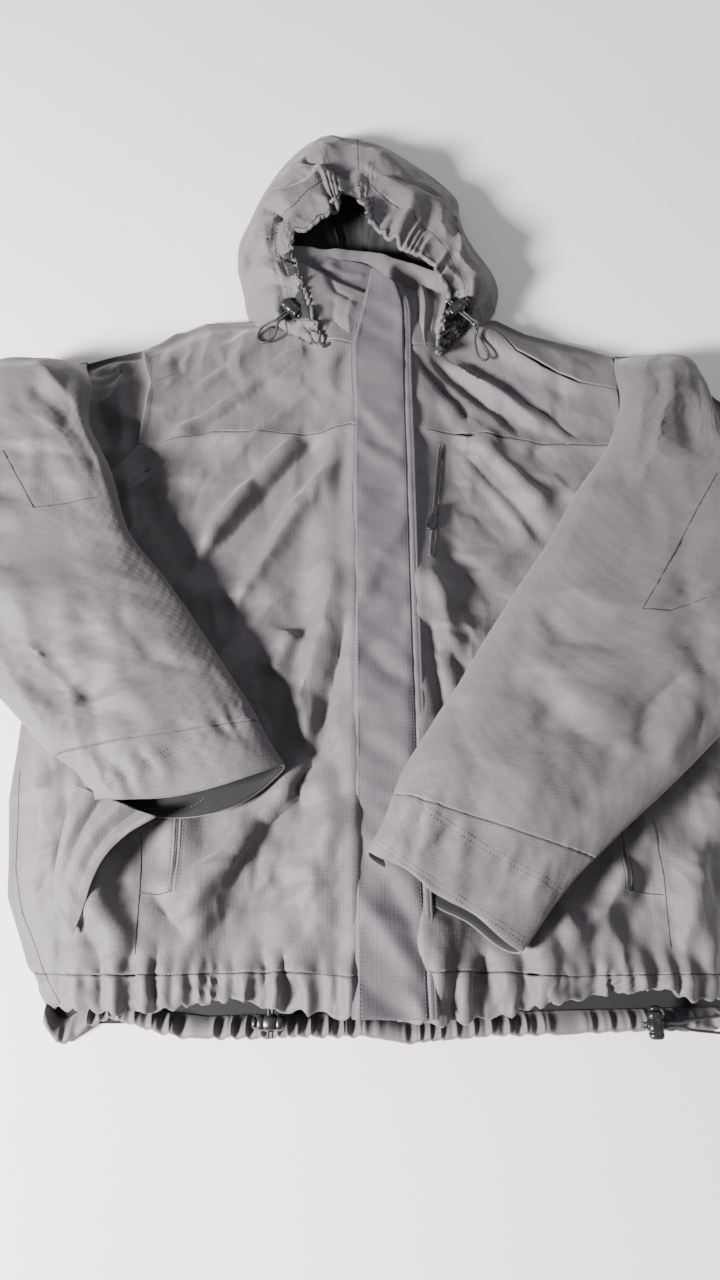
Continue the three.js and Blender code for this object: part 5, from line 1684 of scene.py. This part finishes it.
# ------------------------------------------------------------------ main zip, under the flap
def main_zip():
    for side, sg in (("r", -1), ("l", 1)):
        ys = np.linspace(-34, 706, 180)
        xs = 25 + sg * np.array([1.4, 3.0, 6.5, 10.5, 14.5])
        X = np.zeros((len(ys), 5, 3))
        X[..., 0], X[..., 1] = xs[None], ys[:, None]
        X[..., 2] = 47.2 + 0.3 * smooth_noise(X[..., 0], X[..., 1], 20, 161)
        X[..., 2] -= np.array([0, 0, 0, 0.8, 2.4])[None]
        if sg < 0:
            X = X[:, ::-1]
        ob = cloth_object("zip_tape_cloth_" + side, X, material_coords(X), [TAPE, TAPE], 0.5)
        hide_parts("zip_tape_" + side)
        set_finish(ob, "lining")
        lift(ob, "body")
    vs, fs = [], []
    n = int(738 / 2.6)
    for i in range(n):
        y = -28 + i * 2.6
        for sg, dy in ((-1, 0.0), (1, 1.3)):
            # a tooth: a root on the tape, a neck and a rounded head over the middle
            out = [(-3.2, -0.75), (-0.6, -0.75), (-0.1, -0.45), (0.7, -0.8), (1.5, -0.35), (1.5, 0.35), (0.7, 0.8), (-0.1, 0.45), (-0.6, 0.75), (-3.2, 0.75)]
            base = len(vs)
            for z, k in ((46.6, 0.86), (47.1, 1), (49.0, 1), (49.5, 0.8)):
                vs += [(25 - sg * (a * k if a > 0 else a * (0.5 + k / 2)), y + dy + b * k, z) for a, b in out]
            m = len(out)
            for r in range(3):
                for q in range(m):
                    a, b = base + r * m + q, base + r * m + (q + 1) % m
                    f = (a, b, b + m, a + m)
                    fs.append(f if sg < 0 else f[::-1])
            top = tuple(base + 3 * m + q for q in range(m))
            fs.append(top if sg < 0 else top[::-1])
            fs.append(tuple(base + q for q in range(m))[::-1] if sg < 0 else tuple(base + q for q in range(m)))
    ob = add_object("zip_teeth_moulded", np.array(vs), fs, [MATTE], smooth=False)
    ob.data.uv_layers.new(name="weave")
    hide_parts("zip_teeth")
    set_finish(ob, "zip_plastic")
    lift(ob, "body")


main_zip()

# ------------------------------------------------------------------ cord locks
LOCKS = {
    "hood_lock_r": ((-76, 690, 55), -0.75), "hood_lock_l": ((108, 690, 55), 0.764),
    "hem_lock_r": ((-80, -50, 27), math.pi), "hem_lock_l": ((264, -52, 27), math.pi / 2)}


def placed(pts, at, turn):
    pts = np.asarray(pts, float)
    c, s = math.cos(turn), math.sin(turn)
    return np.stack([pts[..., 0] * c - pts[..., 1] * s + at[0], pts[..., 0] * s + pts[..., 1] * c + at[1], pts[..., 2] + at[2]], -1)


def turned(profile, n=28, sy=1.0, sz=1.0, power=2.0):
    """A body turned about the local X axis: the profile holds x and radius."""
    a = 2 * np.pi * np.arange(n) / n
    c, s = np.cos(a), np.sin(a)
    e = 2 / power
    c, s = np.sign(c) * np.abs(c) ** e, np.sign(s) * np.abs(s) ** e
    vs = [(x, r * sy * cc, r * sz * ss) for x, r in profile for cc, ss in zip(c, s)]
    m = len(profile)
    fs = [(i * n + j, i * n + (j + 1) % n, (i + 1) * n + (j + 1) % n, (i + 1) * n + j) for i in range(m - 1) for j in range(n)]
    fs += [tuple(range(n))[::-1], tuple((m - 1) * n + j for j in range(n))]
    return vs, [f[::-1] for f in fs]


def torus_at(centre, ra, rb, r, axis="y", n=24, m=10):
    vs, fs = [], []
    for i in range(n):
        a = 2 * math.pi * i / n
        for j in range(m):
            b = 2 * math.pi * j / m
            u, v, w = (ra + r * math.cos(b)) * math.cos(a), (rb + r * math.cos(b)) * math.sin(a), r * math.sin(b)
            vs.append((centre[0] + u, centre[1] + w, centre[2] + v) if axis == "y" else (centre[0] + u, centre[1] + v, centre[2] + w))
    for i in range(n):
        for j in range(m):
            fs.append((i * m + j, ((i + 1) % n) * m + j, ((i + 1) % n) * m + (j + 1) % m, i * m + (j + 1) % m))
    return vs, fs


def join(parts):
    vs, fs = [], []
    for v, f in parts:
        k = len(vs)
        vs += list(v)
        fs += [tuple(k + i for i in q) for q in f]
    return np.array(vs), fs


def bevelled(ob, w=0.00035):
    b = ob.modifiers.new("edges", "BEVEL")
    b.width, b.segments, b.limit_method, b.angle_limit = w, 2, "ANGLE", math.radians(38)
    return ob


for name, (at, turn) in LOCKS.items():
    body = turned([(-12, 2.6), (-11.9, 4.2), (-11.4, 5.4), (-10.4, 6.2), (-9, 6.7), (-6.6, 6.9), (-6.2, 6.35), (-5.4, 6.35), (-5.0, 6.95),
                   (-2, 7.0), (5.0, 6.95), (5.4, 6.4), (6.2, 6.4), (6.6, 6.9), (9.4, 6.6), (10.8, 6.1), (11.5, 5.4), (11.8, 4.6), (11.3, 3.7), (9.0, 3.6)],
                  32, 1.0, 0.86, 2.5)
    v, f = join([body, torus_at((0, 6.9, 0), 3.9, 2.5, 0.55), torus_at((0, -6.9, 0), 3.9, 2.5, 0.55)])
    ob = add_object(name + "_shell", placed(v, at, turn), f, [GLOSS])
    ob.data.uv_layers.new(name="weave")
    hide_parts(name)
    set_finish(ob, "plastic")
    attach(ob, name)
    v, f = turned([(8.5, 3.1), (12.4, 3.1), (12.7, 4.3), (13.1, 4.9), (13.8, 5.1), (15.2, 4.9), (16.1, 4.2), (16.6, 3.0), (16.8, 1.4)], 28, 1, 0.9, 2.3)
    ob = add_object(name + "_plunger", placed(np.array(v), at, turn), f, [GLOSS])
    ob.data.uv_layers.new(name="weave")
    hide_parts(name + "_button")
    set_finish(ob, "plastic")
    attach(ob, name + "_button")

for ob in CORD_OBJECTS.values():
    ob.data.materials.append(CORD_FREE)

# eyelet and crimp on the hood cord of the wearer's left
v, f = torus_at((0, 13.5, 0.4), 4.4, 3.0, 0.8)
ob = add_object("hood_eyelet_l", placed(np.array(v), *LOCKS["hood_lock_l"]), f, [METAL])
ob.data.uv_layers.new(name="weave")
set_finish(ob, "zip_plastic")
lift(ob, "body")
v, f = torus_at((0, -27.5, -0.6), 2.6, 1.6, 0.9)
ob = add_object("hood_crimp_l", placed(np.array(v), *LOCKS["hood_lock_l"]), f, [METAL])
ob.data.uv_layers.new(name="weave")
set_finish(ob, "zip_plastic")
lift(ob, "body")

def pull_tab(node, at, turn, length, width, body):
    """A moulded tab with a waist and a rounded end, hanging along local -Y."""
    prof = [(2.5, 1.6), (1.6, 2.2), (0, 2.5), (-3, 2.2), (-6, 2.6), (-length * 0.5, width * 0.44), (-length * 0.78, width * 0.5),
            (-length * 0.92, width * 0.44), (-length, width * 0.28), (-length - 0.8, width * 0.1)]
    vs, fs = [], []
    a = 2 * np.pi * np.arange(16) / 16
    for y, w in prof:
        k = min(1.0, w / 2.2)
        for c, s in zip(np.cos(a), np.sin(a)):
            vs.append((np.sign(c) * abs(c) ** 0.7 * w, y, np.sign(s) * abs(s) ** 0.7 * 1.1 * k))
    m = len(prof)
    fs = [(i * 16 + j, (i + 1) * 16 + j, (i + 1) * 16 + (j + 1) % 16, i * 16 + (j + 1) % 16) for i in range(m - 1) for j in range(16)]
    fs += [tuple(range(16)), tuple((m - 1) * 16 + j for j in range(16))[::-1]]
    ob = add_object(node + "_tab", placed(np.array(vs), at, turn), fs, [GLOSS])
    ob.data.uv_layers.new(name="weave")
    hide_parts(node)
    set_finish(ob, "zip_plastic")
    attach(ob, body)
    return ob


pull_tab("chest_zip_pull", (78.5, 446, 50.3), -0.26, 24, 9.5, "chest_pull")
pull_tab("hand_zip_pull_r", (-168.6, 216, 50.3), -0.02, 22, 6.0, "hand_pull_r")
pull_tab("hand_zip_pull_l", (243.6, 216, 50.3), 0.02, 22, 6.0, "hand_pull_l")

# ------------------------------------------------------------------ what is left of the hard parts keeps its CAD shape
for n, o in frame["nodes"].items():
    if o.hide_render:
        continue
    o.data.materials.clear()
    o.data.materials.append(MATTE)
    bevelled(o, 0.0002)
    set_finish(o, "zip_plastic")

# ------------------------------------------------------------------ every sheet of cloth without a finish is given one; its cut size is worked out but not kept
HELD = {"front_hem_r": "gathered", "front_hem_l": "gathered", "hood_brim_shell": "gathered", "back_hem_gathers": "gathered"}
for ob, w, l, area in CLOTH:
    n = ob.name
    w, l = max(w, 0.01), max(l, 0.01)
    area = max(area, 0.31 * w * l)
    HELD.get(n, "laid")
    if "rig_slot" not in ob:
        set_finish(ob, "lining" if n.endswith("lining") or "bag" in n else "trim" if n.startswith(("storm", "flap_pl")) else "shell")

# SCENE_END

# ------------------------------------------------------------------ floor, light
def floor_and_light():
    m, nt, bsdf = new_material("floor")
    tc = nt.nodes.new("ShaderNodeTexCoord")
    n = noise_node(nt, tc.outputs["Object"], 3, 2, 0.5)
    r = ramp(nt, 0.3, 0.8, (0.86, 0.825, 0.77), (0.9, 0.868, 0.815))
    nt.links.new(n, r.inputs[0])
    nt.links.new(r.outputs[0], bsdf.inputs["Base Color"])
    bsdf.inputs["Roughness"].default_value = 0.9
    me = bpy.data.meshes.new("floor")
    me.from_pydata([(-6, -6, 0), (6, -6, 0), (6, 6, 0), (-6, 6, 0)], [], [(0, 1, 2, 3)])
    fl = bpy.data.objects.new("floor", me)
    fl.data.materials.append(m)
    bpy.context.scene.collection.objects.link(fl)
    w = bpy.data.worlds.new("world")
    bpy.context.scene.world = w
    w.use_nodes = True
    w.node_tree.nodes["Background"].inputs[0].default_value = (0.93, 0.95, 1.0, 1)
    w.node_tree.nodes["Background"].inputs[1].default_value = 0.35

    def area(name, loc, target, size, power, color):
        d = bpy.data.lights.new(name, "AREA")
        d.shape = "RECTANGLE"
        d.size, d.size_y = size
        d.energy = power
        d.color = color
        o = bpy.data.objects.new(name, d)
        o.location = loc
        o.rotation_euler = (Vector(target) - Vector(loc)).to_track_quat("-Z", "Y").to_euler()
        bpy.context.scene.collection.objects.link(o)
        return o
    area("key", (-1.75, -1.0, 1.25), (0.0, 0.0, 0.0), (0.5, 0.5), 288, (1.0, 0.97, 0.945))
    area("fill", (1.5, 1.5, 1.8), (0, 0, 0), (2.0, 2.0), 14, (0.93, 0.96, 1.0))


floor_and_light()
